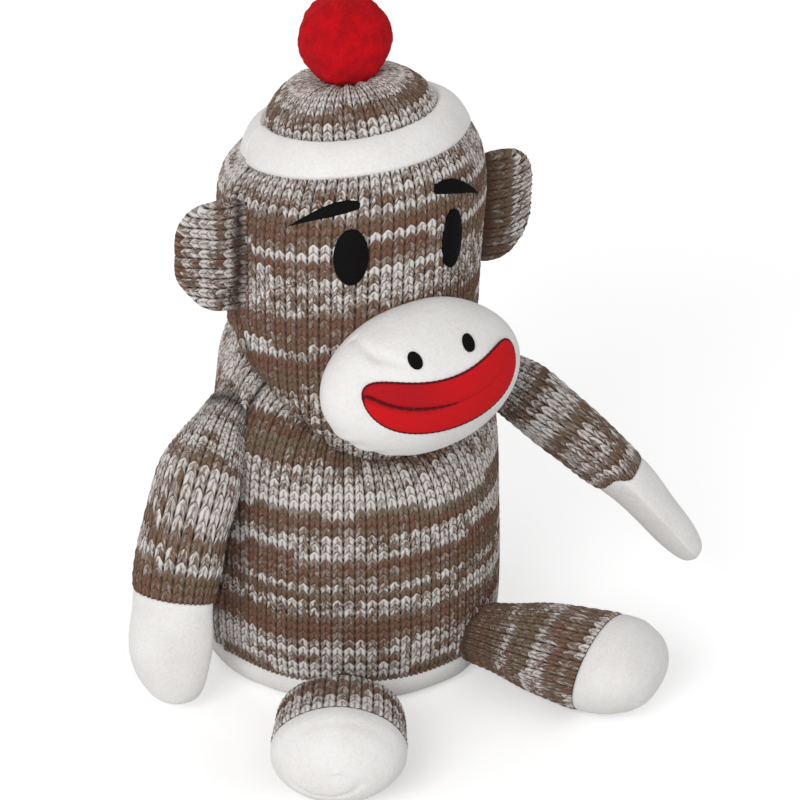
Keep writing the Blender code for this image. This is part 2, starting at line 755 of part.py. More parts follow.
def make_face(neck, head):
    half_line = THREAD / 2
    edge = half_line + GAP

    def upper_edges(share):
        middle, half, line = mouth_curves(share)
        return line + edge, max(middle + half, line + edge + GAP)

    def lower_edges(share):
        middle, half, line = mouth_curves(share)
        return middle - half, line - edge

    def line_edges(share):
        line = mouth_curves(share)[2]
        return line - half_line, line + half_line

    lip_patch("upper_lip", upper_edges, FELT_WALL, RED_COLOUR, neck)
    lip_patch("lower_lip", lower_edges, FELT_WALL, RED_COLOUR, neck)
    lip_patch("mouth_stitching", line_edges, THREAD, DARK_RED_COLOUR, neck)

    def head_surface(angle, level):
        section = section_at(head, level)
        return section.point(angle) + Vector((math.sin(angle), -math.cos(angle), 0)) * GAP

    for side, side_name in SIDE_NAMES.items():
        def nostril(across, above):
            x = side * MUZZLE_HALF_WIDTH * NOSTRIL_APART_SHARE + across
            return muzzle_point(x, MUZZLE_HALF_HEIGHT * NOSTRIL_RISE_SHARE + above, GAP)

        def eye(across, above):
            angle = EYES_TURN + side * EYE_ANGLE + across / HEAD_RADIUS
            return head_surface(angle, head_height_at(EYE_RISE_SHARE) + above)

        oval_patch(f"nostril_{side_name}", nostril, NOSTRIL_WIDTH, NOSTRIL_HEIGHT, neck)
        oval_patch(f"eye_{side_name}", eye, EYE_WIDTH, EYE_TALL, neck)
        rows = []
        for step in range(STRIP_COLUMNS + 1):
            share = step / STRIP_COLUMNS
            turn = BROW_INNER_ANGLE + (BROW_OUTER_ANGLE - BROW_INNER_ANGLE) * share
            angle = BROWS_TURN + side * turn
            height = head_height_at(BROW_RISE_SHARE) - BROW_DROP * share ** 2
            half = BROW_THICKNESS / 2 * max(math.sin(math.pi * share), BROW_END_SHARE)
            rows.append([head_surface(angle, height + half * part) for part in (-1, 0, 1)])
        brow = place(f"eyebrow_{side_name}", surface_mesh("eyebrow", rows), BLACK_COLOUR, neck)
        thicken(brow, THREAD, turned_out(brow))


def oval_patch(name, surface, width, height, neck):
    """A thin oval that follows a surface given as a function of places across and above."""
    rows = []
    for size in (0.5, 1.0):
        ring = []
        for step in range(PATCH_SIDES):
            angle = 2 * math.pi * step / PATCH_SIDES
            ring.append(surface(size * width / 2 * math.cos(angle), size * height / 2 * math.sin(angle)))
        rows.append(ring)
    piece = place(name, surface_mesh(name, rows, True, True, False), BLACK_COLOUR, neck)
    thicken(piece, THREAD, turned_out(piece))


def limb_sections(root, line, root_radius, outline_shares, half_width, half_thickness, width_way):
    """Sections of a limb: a round root about its pivot, then ovals along its middle line."""
    curve = [root + point for point in smooth_points(line, LIMB_CURVE_STEPS)]
    lengths = [0.0]
    for start, end in zip(curve, curve[1:]):
        lengths.append(lengths[-1] + (end - start).length)
    total = lengths[-1]

    def frame_at(distance):
        index = max(i for i, length in enumerate(lengths[:-1]) if length <= max(distance, 0))
        span = curve[index + 1] - curve[index]
        middle = curve[index] + span * ((distance - lengths[index]) / span.length)
        before = curve[max(index - 1, 0)]
        along = (curve[min(index + 2, len(curve) - 1)] - before).normalized()
        wide_way = (width_way - along * width_way.dot(along)).normalized()
        return middle, Matrix((wide_way, along.cross(wide_way), along)).transposed()

    sections = []
    first_way = frame_at(0)[1]
    for degrees in LIMB_ROOT_DEGREES:
        angle = math.radians(degrees)
        middle = root + first_way @ Vector((0, 0, root_radius * math.sin(angle)))
        radius = root_radius * math.cos(angle)
        sections.append(Section(middle, first_way, radius, radius))
    for length_share, width_share, thick_share in outline_shares:
        middle, axes = frame_at(total * length_share)
        sections.append(Section(middle, axes, half_width * width_share, half_thickness * thick_share))
    return sections


def split_limb(sections, border_count):
    """Sections before and after the seam between the knitted sleeve and the white end."""
    border = sections[border_count - 1]
    shift = border.along() * GAP
    after = Section(border.middle + shift, border.axes, border.wide, border.deep)
    return sections[:border_count], [after, *sections[border_count:]]


def make_limb(name, end_name, pivot, sections, border_count):
    sleeve, end = split_limb(sections, border_count)
    angles = even_angles(LIMB_SIDES)
    rows = rows_at(sleeve, angles)
    cover = place(f"{name}_sleeve", surface_mesh(name, rows, True, True, False, 0), KNIT_COLOUR, pivot)
    thicken(cover, KNIT_WALL, -1)
    rows = rows_at(end, angles)
    mesh = surface_mesh(name, rows, True, False, True, 0)
    tip = place(f"{name}_{end_name}", mesh, WHITE_COLOUR, pivot)
    thicken(tip, FLEECE_WALL, -1)
    inside = inset(sections, KNIT_WALL + GAP)
    solid_form(f"{name}_stuffing", inside, angles, FIBRE_COLOUR, pivot, KNIT_WALL + GAP)


def arm_root(side):
    out = BODY_RADIUS - ARM_ROOT_INSET
    return Vector((side * out, -ARM_ROOT_FORWARD, SHOULDER_HEIGHT + ARM_ROOT_RISE))


def arm_hinge(side):
    """Way of the line that an arm swings about: level, across the seam and backward."""
    return Vector((math.cos(ARM_HINGE_TURN), side * math.sin(ARM_HINGE_TURN), 0))


def leg_root(side):
    out = Vector((side * math.sin(LEG_SPLAY), -math.cos(LEG_SPLAY), 0))
    return out * (BODY_RADIUS + LEG_ROOT_STAND_OFF) + Vector((0, 0, LEG_ROOT_HEIGHT)), out


def make_arms():
    lines = {RIGHT: RIGHT_ARM_LINE_SHARES, LEFT: LEFT_ARM_LINE_SHARES}
    sockets = []
    for side, side_name in SIDE_NAMES.items():
        line = [ARM_LENGTH * Vector((side * out, -forward, -down)) for out, forward, down in lines[side]]
        sections = limb_sections(
            arm_root(side), line, ARM_ROOT_RADIUS, ARM_OUTLINE_SHARES,
            ARM_HALF_WIDTH, ARM_HALF_THICKNESS, arm_hinge(side),
        )
        before_outline = len(sections) - len(ARM_OUTLINE_SHARES)
        border = [share[0] for share in ARM_OUTLINE_SHARES].index(ARM_HAND_SHARE) + 1
        pivot = pivot_at(f"arm_{side_name}_pivot", arm_root(side))
        make_limb(f"arm_{side_name}", "hand", pivot, sections, before_outline + border)
        socket = ball_mesh(f"arm_socket_{side_name}", ARM_ROOT_RADIUS + RUNNING_GAP)
        sockets.append(cutter(socket.name, socket, Matrix.Translation(arm_root(side))))
    return sockets


def make_legs():
    sockets = []
    for side, side_name in SIDE_NAMES.items():
        root, out = leg_root(side)
        end_height = LEG_HALF_HEIGHT - FLOOR_FLAT
        end = out * LEG_LENGTH + Vector((0, 0, end_height - LEG_ROOT_HEIGHT))
        line = [end * along + Vector((0, 0, LEG_LENGTH * rise)) for along, rise in LEG_LINE_SHARES]
        across = out.cross(Vector((0, 0, 1)))
        sections = limb_sections(
            root, line, LEG_ROOT_RADIUS, LEG_OUTLINE_SHARES, LEG_HALF_WIDTH, LEG_HALF_HEIGHT, across,
        )
        before_outline = len(sections) - len(LEG_OUTLINE_SHARES)
        border = [share[0] for share in LEG_OUTLINE_SHARES].index(LEG_FOOT_SHARE) + 1
        pivot = pivot_at(f"leg_{side_name}_pivot", root)
        make_limb(f"leg_{side_name}", "foot", pivot, sections, before_outline + border)
        socket = ball_mesh(f"leg_socket_{side_name}", LEG_ROOT_RADIUS + RUNNING_GAP)
        sockets.append(cutter(socket.name, socket, Matrix.Translation(root)))
    return sockets


def make_doll():
    panels, bottom, stuffing = make_body()
    neck = pivot_at("neck_pivot", neck_matrix().translation)
    neck_space, under_chin = neck_cutters(neck)
    head = make_head(neck, neck_space)
    make_ears(neck, head)
    make_muzzle(neck, head, under_chin)
    make_face(neck, head)
    arm_sockets = make_arms()
    leg_sockets = make_legs()
    for panel in panels:
        cut(panel, *arm_sockets, *leg_sockets)
    cut(bottom, *leg_sockets)
    cut(stuffing, *arm_sockets, *leg_sockets)


clear_scene()
DOLL = new_collection("sock_monkey")
CUTTERS = new_collection("cutters")
make_doll()
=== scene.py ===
"""Sock monkey doll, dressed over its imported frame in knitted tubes, plush, felt and thread."""

import math

import bpy
import numpy as np
from mathutils import Matrix, Vector


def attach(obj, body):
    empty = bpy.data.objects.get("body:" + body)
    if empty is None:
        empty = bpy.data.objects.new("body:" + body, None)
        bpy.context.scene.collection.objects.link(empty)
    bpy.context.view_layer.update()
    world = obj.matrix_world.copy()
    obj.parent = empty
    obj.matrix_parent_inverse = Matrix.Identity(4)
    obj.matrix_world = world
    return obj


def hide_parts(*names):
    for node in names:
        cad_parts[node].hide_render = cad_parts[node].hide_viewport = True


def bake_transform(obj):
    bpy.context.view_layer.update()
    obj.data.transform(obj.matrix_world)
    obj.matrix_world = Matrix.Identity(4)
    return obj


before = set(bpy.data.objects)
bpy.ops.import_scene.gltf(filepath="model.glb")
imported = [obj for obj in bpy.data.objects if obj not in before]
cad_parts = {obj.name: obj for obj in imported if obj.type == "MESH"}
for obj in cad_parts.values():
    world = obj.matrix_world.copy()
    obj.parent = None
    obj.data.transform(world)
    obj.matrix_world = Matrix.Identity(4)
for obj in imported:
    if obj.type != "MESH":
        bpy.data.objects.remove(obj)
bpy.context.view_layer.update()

# The table the doll sits on, the lamps over it and the camera. The table is a plain pale sweep of
# card, and three large soft lamps stand round it. The camera looks down a little from the doll's
# right, through a long lens whose picture is shifted so that the doll stands left of its middle.
CAMERA_TURN = math.radians(-28)
CAMERA_RISE = math.radians(25.6)
CAMERA_AWAY = 1.333
CAMERA_AIM = Vector((0, 0, 0.101))
LENS_MM = 158.9
PICTURE_SHIFT = 0.064
TABLE_SIZE = 12
CARD_WHITE = (0.82, 0.82, 0.82)
CARD_GLOW = 0.42
LAMPS = (
    # name, place, size, watts
    ("key_lamp", (-1.15, -0.95, 0.85), 0.9, 13.0),
    ("fill_lamp", (0.95, -0.95, 0.75), 1.1, 1.6),
    ("back_lamp", (0.25, 1.0, 1.0), 0.9, 2.0),
)
SKY_STRENGTH = 0.52


class Finish:
    """One procedural material, and short ways to add nodes to it."""

    def __init__(self, name, roughness=0.9, **sockets):
        self.material = bpy.data.materials.new(name)
        self.material.use_nodes = True
        self.nodes = self.material.node_tree.nodes
        self.shader = self.nodes["Principled BSDF"]
        self.shader.inputs["Roughness"].default_value = roughness
        for socket, value in sockets.items():
            self.shader.inputs[socket.replace("_", " ")].default_value = value

    def feed(self, socket, value):
        """Give a socket another node's output or a plain value."""
        if isinstance(value, bpy.types.NodeSocket):
            self.material.node_tree.links.new(value, socket)
        else:
            socket.default_value = value

    def add(self, kind, *inputs, output=0, **settings):
        """Add a node, fill its inputs in order and return one of its outputs."""
        node = self.nodes.new("ShaderNode" + kind)
        for setting, value in settings.items():
            setattr(node, setting, value)
        for socket, value in zip(node.inputs, inputs):
            self.feed(socket, value)
        return node.outputs[output]

    def math(self, operation, first, second=0.0, third=0.0):
        return self.add("Math", first, second, third, operation=operation)

    def blend(self, share, first, second):
        """Mix two colours, the second by a share from 0 to 1."""
        node = self.nodes.new("ShaderNodeMix")
        node.data_type = "RGBA"
        for name, value in (("Factor_Float", share), ("A_Color", first), ("B_Color", second)):
            socket = next(item for item in node.inputs if item.identifier == name)
            if isinstance(value, tuple):
                value = (*value, 1.0)
            self.feed(socket, value)
        return next(item for item in node.outputs if item.identifier == "Result_Color")

    def spread(self, value, low, high, start=0.0, end=1.0):
        """Stretch a value from low..high to start..end, and hold it there beyond."""
        return self.add("MapRange", value, low, high, start, end)

    def ease(self, value, low, high):
        """Rise smoothly from 0 at low to 1 at high."""
        return self.add("MapRange", value, low, high, 0.0, 1.0, interpolation_type="SMOOTHSTEP")

    def noise(self, place, scale, detail=2.0, roughness=0.5):
        node = self.nodes.new("ShaderNodeTexNoise")
        self.feed(node.inputs["Vector"], place)
        node.inputs["Scale"].default_value = scale
        node.inputs["Detail"].default_value = detail
        node.inputs["Roughness"].default_value = roughness
        return node.outputs["Fac"]

    def bump(self, height, depth):
        node = self.nodes.new("ShaderNodeBump")
        node.inputs["Distance"].default_value = depth
        self.feed(node.inputs["Height"], height)
        return node.outputs["Normal"]


card = Finish("pale_card", 0.95)
card.shader.inputs["Base Color"].default_value = (*CARD_WHITE, 1)
glow = card.add("Emission", (1, 1, 1, 1), CARD_GLOW)
seen = card.add("LightPath", output=0)
lit = card.add("AddShader", card.shader.outputs[0], glow)
shown = card.add("MixShader", seen, card.shader.outputs[0], lit)
card.material.node_tree.links.new(shown, card.nodes["Material Output"].inputs["Surface"])
bpy.ops.mesh.primitive_plane_add(size=TABLE_SIZE)
table = bpy.context.object
table.name = "table_card"
table.data.materials.append(card.material)

for lamp_name, lamp_place, lamp_size, lamp_watts in LAMPS:
    lamp_data = bpy.data.lights.new(lamp_name, "AREA")
    lamp_data.shape = "DISK"
    lamp_data.size = lamp_size
    lamp_data.energy = lamp_watts
    lamp = bpy.data.objects.new(lamp_name, lamp_data)
    lamp.location = lamp_place
    lamp.rotation_euler = (CAMERA_AIM - Vector(lamp_place)).to_track_quat("-Z", "Y").to_euler()
    bpy.context.scene.collection.objects.link(lamp)

world = bpy.data.worlds.new("studio")
world.use_nodes = True
sky = world.node_tree.nodes["Background"]
sky.inputs["Color"].default_value = (1, 1, 1, 1)
sky.inputs["Strength"].default_value = SKY_STRENGTH
white_sky = world.node_tree.nodes.new("ShaderNodeBackground")
white_sky.inputs["Color"].default_value = (1, 1, 1, 1)
white_sky.inputs["Strength"].default_value = 1.0
ray = world.node_tree.nodes.new("ShaderNodeLightPath")
choice = world.node_tree.nodes.new("ShaderNodeMixShader")
world_links = world.node_tree.links
world_links.new(ray.outputs["Is Camera Ray"], choice.inputs[0])
world_links.new(sky.outputs[0], choice.inputs[1])
world_links.new(white_sky.outputs[0], choice.inputs[2])
world_links.new(choice.outputs[0], world.node_tree.nodes["World Output"].inputs["Surface"])
bpy.context.scene.world = world
bpy.context.scene.view_settings.view_transform = "Standard"

camera_data = bpy.data.cameras.new("camera")
camera_data.lens = LENS_MM
camera_data.shift_x = PICTURE_SHIFT
camera = bpy.data.objects.new("camera", camera_data)
level_away = CAMERA_AWAY * math.cos(CAMERA_RISE)
camera.location = CAMERA_AIM + Vector((
    level_away * math.sin(CAMERA_TURN), -level_away * math.cos(CAMERA_TURN),
    CAMERA_AWAY * math.sin(CAMERA_RISE),
))
camera.rotation_euler = (CAMERA_AIM - camera.location).to_track_quat("-Z", "Y").to_euler()
bpy.context.scene.collection.objects.link(camera)
bpy.context.scene.camera = camera


# The body cover: a knitted tube of ragg yarn, brown and cream plies twisted together, in plain
# stitch. It is sewn up at both sides, stuffed with fibre, and drawn in to a crease under the head.
BODY_WALES = 84
BODY_WALE_POINTS = 6
BODY_ROWS = 188
WALE_POINTS = 7
COURSE_POINTS = 5
COURSE_HEIGHT = 0.0033
STITCH_DEPTH = 0.0010
# How far up, in courses, the middle of a stitch stands over its feet, and how round its arch is
STITCH_SLANT = 0.60
STITCH_BOW = 1.6
# This much of a stitch's height lies under the smooth surface, and the rest stands over it
RELIEF_MIDDLE = 0.45
SEAM_DEPTH = 0.0013
SEAM_WIDTH = 0.0012
SEAM_RIDGE = 0.0004
BACK_STITCH_OFFSET = 0.45
# The crease slopes from under the chin up to the nape; these are its heights and its nominal level
CREASE_LEVEL = 0.1135
CREASE_SIDE = 0.1275
CREASE_SLOPE = 0.0290
CREASE_BOW = 0.0045
GATHER_COUNT = 38
GATHER_DEPTH = 0.0007
GATHER_REACH = 0.011
# Half width and nominal height of the body cover, from its hem to where it tucks in at the crease
BODY_OUTLINE = (
    (0.0500, 0.0088), (0.0548, 0.0100), (0.0566, 0.0128), (0.0576, 0.020), (0.0578, 0.030),
    (0.0575, 0.046), (0.0570, 0.062), (0.0564, 0.078), (0.0549, 0.091), (0.0516, 0.1015),
    (0.0462, 0.1095), (0.0405, 0.1135), (0.0370, 0.1128), (0.0345, 0.1085),
)
# How far apart the uneven places in the stuffed cloth are, and how high they stand
BODY_RIPPLE = (0.045, 0.0005)
BODY_HEM = 0.010
BODY_CHEST = 0.062
CHEST_LEVEL = 0.0715
CHEST_SLOPE = 0.0135
NAPE_HOLLOW = 0.0062
NAPE_TUCK = 0.0040
NAPE_TUCK_SHARE = 0.86
NAPE_TUCK_WIDTH = 0.10
HIDDEN_HEM_COURSES = 1.7
# Right side seam of the body: turn from the front in degrees, at a height
BODY_SEAM = ((0.0, 88.0), (0.03, 87.0), (0.05, 81.0), (0.08, 76.0), (0.10, 75.0), (0.13, 78.0))
# The yarn's colour in each course from the hem up: white, marl, grey, brown, red brown, olive
BODY_YARN = "bwwgwgrrbmmbmbrrwmmbrowwmmgboorrmmwwmmbggmmbbm"
YARN_KINDS = {
    # how pale, how olive, how much its stitches differ
    "w": (0.90, 0.5, 0.60), "m": (0.68, 0.5, 0.9), "g": (0.46, 0.3, 0.8),
    "b": (0.14, 0.5, 0.50), "r": (0.08, 0.0, 0.40), "o": (0.14, 1.0, 0.45),
}
CREAM = (0.75, 0.70, 0.665)
GREY_MARL = (0.36, 0.30, 0.265)
RED_BROWN = (0.190, 0.098, 0.066)
OLIVE_BROWN = (0.185, 0.138, 0.088)
# Painted shade in the gaps between stitches: near black beside pale yarn, dark brown beside brown
GAP_SHADE_BLACK = (0.020, 0.013, 0.011)
GAP_SHADE_BROWN = (0.075, 0.043, 0.030)


def smooth_step(value):
    """Rise smoothly from 0 to 1 as a value does, and stay there beyond."""
    value = np.clip(value, 0.0, 1.0)
    return value * value * (3 - 2 * value)


def bell(value, width):
    """A smooth bump: 1 where a value is 0, about a third at one width and nothing from two."""
    return np.exp(-(value / width) ** 2)


def unit(ways):
    """Directions of length 1."""
    return ways / np.maximum(np.linalg.norm(ways, axis=-1, keepdims=True), 1e-12)


def turns_round(count, start=-math.pi):
    """Evenly spaced turns once round; the body's own start at the back, at -180 degrees."""
    return 2 * math.pi * np.arange(count) / count + start


def wales_round(wales, columns):
    """Stitch columns counted once round a tube, with the place where it closes at the end."""
    return wales * np.arange(columns + 1)[None, :] / columns


def closed_round(values):
    """Counts of a grid that closes on itself, with its first column again at the end."""
    return np.hstack([values, values[:, :1]])


def level_rings(radius, height, turns):
    """Rings round an upright axis, from the radius and the height of their places."""
    return np.stack([radius * np.sin(turns), -radius * np.cos(turns), height + 0 * turns], axis=-1)


def read_off(table, places):
    """Values at some places, straight between the rows of a table of places and values."""
    rows = np.array(table)
    return np.interp(places, rows[:, 0], rows[:, 1])


def run_along(line):
    """How far along a line each of its places is."""
    steps = np.linalg.norm(np.diff(line, axis=0), axis=1)
    return np.concatenate([[0], np.cumsum(steps)])


def smooth_curve(points, count):
    """A smooth curve through points (Catmull-Rom), as count places evenly spaced along it."""
    given = np.array(points, float)
    ends = np.vstack([2 * given[0] - given[1], given, 2 * given[-1] - given[-2]])
    dense = []
    for a, b, c, d in zip(ends, ends[1:], ends[2:], ends[3:]):
        t = np.linspace(0, 1, 24, endpoint=False)[:, None]
        dense.append((2 * b + (c - a) * t + (2 * a - 5 * b + 4 * c - d) * t ** 2
                      + (3 * b - a - 3 * c + d) * t ** 3) / 2)
    dense = np.vstack([*dense, given[-1:]])
    run = run_along(dense)
    wanted = np.linspace(0, run[-1], count)
    return np.column_stack([np.interp(wanted, run, dense[:, k]) for k in range(dense.shape[1])])


def ripple(places, length, height, seed):
    """Smooth rolling unevenness of stuffed cloth, from a few crossed waves of about a length."""
    random = np.random.default_rng(seed)
    total = np.zeros(places.shape[:-1])
    for _ in range(6):
        way = unit(random.normal(size=3))
        total += np.sin(places @ way * (2 * math.pi / length) * random.uniform(0.6, 1.5)
                        + random.uniform(0, 2 * math.pi))
    return total * (height / 3.5)


def stitch_height(across, along):
    """Height of plain knitting, 0 in its gaps and 1 on the yarn, at places counted in stitches."""
    side = np.abs(2 * (across % 1) - 1)
    turn = (along + STITCH_SLANT * side ** STITCH_BOW) % 1
    spot = smooth_step((0.95 - np.abs(2 * turn - 1)) / 0.7)
    ladder = 1 - (1 - smooth_step((1 - side) / 0.36)) * (0.55 + 0.45 * spot)
    arch = smooth_step((turn - 0.60) / 0.25)
    middle = 0.5 + 0.5 * np.maximum(smooth_step(side / 0.32), 0.9 * arch)
    return ladder * middle * (0.35 + 0.65 * np.sin(math.pi * np.clip(turn, 0.02, 0.98)) ** 0.7)


def surface_normals(points):
    """Outward directions of a grid of points, rows going up and columns closing round."""
    round_way = np.roll(points, -1, axis=1) - np.roll(points, 1, axis=1)
    return unit(np.cross(round_way, np.gradient(points, axis=0)))


def grid_piece(name, points, finish, across=None, along=None, start_cap=False, end_cap=False):
    """A named piece from a grid of points that closes round, with stitch counts as its UV map."""
    rows, columns = points.shape[:2]
    vertices = points.reshape(-1, 3)
    row_index, column_index = np.meshgrid(np.arange(rows - 1), np.arange(columns), indexing="ij")
    following = (column_index + 1) % columns
    faces = np.stack([
        row_index * columns + column_index, row_index * columns + following,
        (row_index + 1) * columns + following, (row_index + 1) * columns + column_index,
    ], axis=-1).reshape(-1, 4).tolist()
    caps = []
    for wanted, row, forward in ((start_cap, 0, False), (end_cap, rows - 1, True)):
        if wanted:
            middle = len(vertices)
            vertices = np.vstack([vertices, points[row].mean(axis=0)])
            for column in range(columns):
                pair = (row * columns + column, row * columns + (column + 1) % columns)
                caps.append([*pair, middle] if forward else [pair[1], pair[0], middle])
    mesh = bpy.data.meshes.new(name)
    mesh.from_pydata(vertices.tolist(), [], faces + caps)
    mesh.shade_smooth()
    if across is not None:
        counts = np.stack(np.broadcast_arrays(across, along, np.zeros((rows, columns + 1)))[:2], -1)
        corners = np.stack([
            counts[:-1, :-1], counts[:-1, 1:], counts[1:, 1:], counts[1:, :-1],
        ], axis=2).reshape(-1, 2)
        corners = np.vstack([corners, np.zeros((3 * len(caps), 2))])
        layer = mesh.uv_layers.new(name="stitches")
        layer.data.foreach_set("uv", corners.astype(np.float32).ravel())
    mesh.materials.append(finish)
    piece = bpy.data.objects.new(name, mesh)
    bpy.context.scene.collection.objects.link(piece)
    return piece


def add_shade(piece, name, values):
    """Keep one number for each point of a piece, for its finish to read."""
    full = np.zeros(len(piece.data.vertices), np.float32)
    flat = np.asarray(values, np.float32).ravel()
    full[:len(flat)] = flat
    piece.data.attributes.new(name, "FLOAT", "POINT").data.foreach_set("value", full)


def ragg_knit(name, seed, yarn_kinds, round_count=100.0):
    """Plain knitting in ragg yarn, drawn by its stitch counts, with a kind of yarn each course."""
    knit = Finish(name, 0.95, Sheen_Weight=0.04, Sheen_Roughness=0.5)
    shade = knit.shader
    shade.inputs["Specular IOR Level"].default_value = 0.10
    stitches = knit.add("UVMap", uv_map="stitches")
    parts = knit.nodes.new("ShaderNodeSeparateXYZ")
    knit.feed(parts.inputs[0], stitches)
    across, along = parts.outputs[0], parts.outputs[1]
    half = knit.math("FRACT", across)
    side = knit.math("ABSOLUTE", knit.math("SUBTRACT", knit.math("MULTIPLY", half, 2.0), 1.0))
    slanted = knit.math("MULTIPLY_ADD", knit.math("POWER", side, STITCH_BOW), STITCH_SLANT, along)
    turn = knit.math("FRACT", slanted)
    course = knit.math("FLOOR", slanted)
    leg = knit.math("FLOOR", knit.math("MULTIPLY", across, 2.0))
    # Each stitch is an arch. Painted shade darkens the gap beside its neck,
    # less so inside it and under its tail
    spot = knit.ease(knit.math("ABSOLUTE", knit.math("MULTIPLY_ADD", turn, 2.0, -1.0)), 0.95, 0.25)
    gap_here = knit.math("SUBTRACT", 1.0, knit.ease(knit.math("SUBTRACT", 1.0, side), 0.04, 0.31))
    gap_depth = knit.math("MULTIPLY", gap_here, knit.math("MULTIPLY_ADD", spot, 0.6, 0.4))
    ladder = knit.math("SUBTRACT", 1.0, gap_depth)
    arch = knit.ease(turn, 0.60, 0.82)
    inside = knit.math("MAXIMUM", knit.ease(side, 0.02, 0.24), arch)
    inside = knit.math("MULTIPLY_ADD", inside, 0.5, 0.5)
    tail = knit.math("MULTIPLY_ADD", knit.ease(turn, 0.0, 0.26), 0.65, 0.35)
    hollow = knit.math("MULTIPLY", knit.math("MULTIPLY", ladder, inside), tail)
    # Yarn colour runs along each course, so it changes slowly across and at once between courses
    angle = knit.math("MULTIPLY", across, 2 * math.pi / round_count)
    east = knit.math("SINE", angle)
    north = knit.math("COSINE", angle)

    def yarn_noise(round_size, along_size, shift, detail=1.0):
        place = knit.nodes.new("ShaderNodeCombineXYZ")
        reach = round_count / (2 * math.pi) / round_size
        knit.feed(place.inputs[0], knit.math("MULTIPLY_ADD", east, reach, seed * 3.7 + shift))
        knit.feed(place.inputs[1], knit.math("MULTIPLY", north, reach))
        knit.feed(place.inputs[2], knit.math("MULTIPLY", course, 1 / along_size))
        return knit.noise(place.outputs[0], 1.0, detail)

    shift = knit.math("SUBTRACT", yarn_noise(13.0, 6.0, 0.0), 0.5)
    shift = knit.math("MULTIPLY_ADD", shift, 4.0, 0.5)
    wanted = knit.math("FLOOR", knit.math("ADD", course, shift))
    ramp = knit.nodes.new("ShaderNodeValToRGB")
    ramp.color_ramp.interpolation = "CONSTANT"
    stops = ramp.color_ramp.elements
    stops.remove(stops[1])
    stops[0].color = (*YARN_KINDS[yarn_kinds[0]], 1)
    for index in range(1, len(yarn_kinds)):
        if yarn_kinds[index] != yarn_kinds[index - 1]:
            stops.new(index / len(yarn_kinds)).color = (*YARN_KINDS[yarn_kinds[index]], 1)
    wanted = knit.math("ADD", wanted, 0.5)
    knit.feed(ramp.inputs[0], knit.math("MULTIPLY", wanted, 1 / len(yarn_kinds)))
    kind = knit.nodes.new("ShaderNodeSeparateColor")
    knit.feed(kind.inputs[0], ramp.outputs[0])

    def stitch_noise(leg_step, course_step, turn_step, side_step, shift, detail):
        place = knit.nodes.new("ShaderNodeCombineXYZ")
        leg_place = knit.math("MULTIPLY", leg, leg_step)
        knit.feed(place.inputs[0], knit.math("MULTIPLY_ADD", side, side_step, leg_place))
        knit.feed(place.inputs[1], knit.math("MULTIPLY", course, course_step))
        knit.feed(place.inputs[2], knit.math("MULTIPLY_ADD", turn, turn_step, seed + shift))
        return knit.math("SUBTRACT", knit.noise(place.outputs[0], 1.0, detail), 0.5)

    run = knit.math("MULTIPLY", knit.math("SUBTRACT", yarn_noise(4.0, 1.05, 40.0, 2.0), 0.5), 1.5)
    fleck = knit.math("MULTIPLY_ADD", stitch_noise(0.73, 1.31, 0.5, 0.0, 0.0, 1.0), 3.0, run)
    ply = knit.math("MULTIPLY", stitch_noise(0.91, 1.73, 3.0, 2.6, 9.0, 2.0), 3.2)
    unlike = knit.math("MULTIPLY", knit.math("ADD", fleck, ply), kind.outputs[2])
    drift = knit.math("MULTIPLY", knit.math("SUBTRACT", yarn_noise(15.0, 5.0, 120.0), 0.5), 0.9)
    pale = knit.math("ADD", knit.math("ADD", kind.outputs[0], drift), unlike)
    dye = knit.math("SUBTRACT", yarn_noise(9.0, 3.0, 80.0), 0.5)
    hue = knit.math("MULTIPLY_ADD", dye, 1.6, kind.outputs[1])
    brown = knit.blend(knit.spread(hue, 0.0, 1.0), RED_BROWN, OLIVE_BROWN)
    marl = knit.blend(knit.spread(pale, 0.12, 0.50), brown, GREY_MARL)
    yarn = knit.blend(knit.spread(pale, 0.48, 0.98), marl, CREAM)
    # Painted shade: the 'seam' number, high along seams and at ear and limb roots, draws the
    # stitches towards the dark gap colour and flattens their bump
    deep = knit.add("Attribute", attribute_name="seam", output=2)
    hollow = knit.math("MULTIPLY", hollow, knit.spread(deep, 0.0, 1.0, 1.0, 0.2))
    # Painted shade: the yarn's colour gives way to the dark gap colour where the stitches sink
    gap = knit.blend(knit.spread(kind.outputs[0], 0.15, 0.55), GAP_SHADE_BROWN, GAP_SHADE_BLACK)
    knit.feed(shade.inputs["Base Color"], knit.blend(hollow, gap, yarn))
    twist = knit.math("MULTIPLY_ADD", turn, 24.0, knit.math("MULTIPLY", side, 9.0))
    twist = knit.math("SINE", twist)
    fibre = knit.noise(stitches, 14.0, 3.0, 0.7)
    rough_yarn = knit.math("MULTIPLY_ADD", twist, 0.10, knit.math("MULTIPLY", fibre, 0.8))
    height = knit.math("ADD", hollow, knit.math("MULTIPLY", rough_yarn, 0.35))
    knit.feed(shade.inputs["Normal"], knit.bump(height, 0.0006))
    return knit.material


def seam_turn(table, heights):
    """Turn of a side seam from the front, in radians, at some heights."""
    return np.radians(read_off(table, heights))


def side_seams(table, turns, heights, radius):
    """How near a tube's places are to its side seams, and how the seams sink and swell them."""
    near = np.zeros(heights.shape)
    beside = np.zeros(heights.shape)
    for side in (-1, 1):
        off = (turns[None, :] - side * seam_turn(table, heights)) * radius
        near += bell(off, SEAM_WIDTH)
        beside += bell(np.abs(off) - 2.6 * SEAM_WIDTH, 1.5 * SEAM_WIDTH)
    return near, beside * SEAM_RIDGE - near * SEAM_DEPTH


def gathers(turns, above):
    """Small folds where a tube is drawn in at the crease, by how far above it each place is."""
    folds = np.cos(GATHER_COUNT * turns + 2.0 * np.sin(3 * turns))[None, :]
    return bell(above, GATHER_REACH) * folds


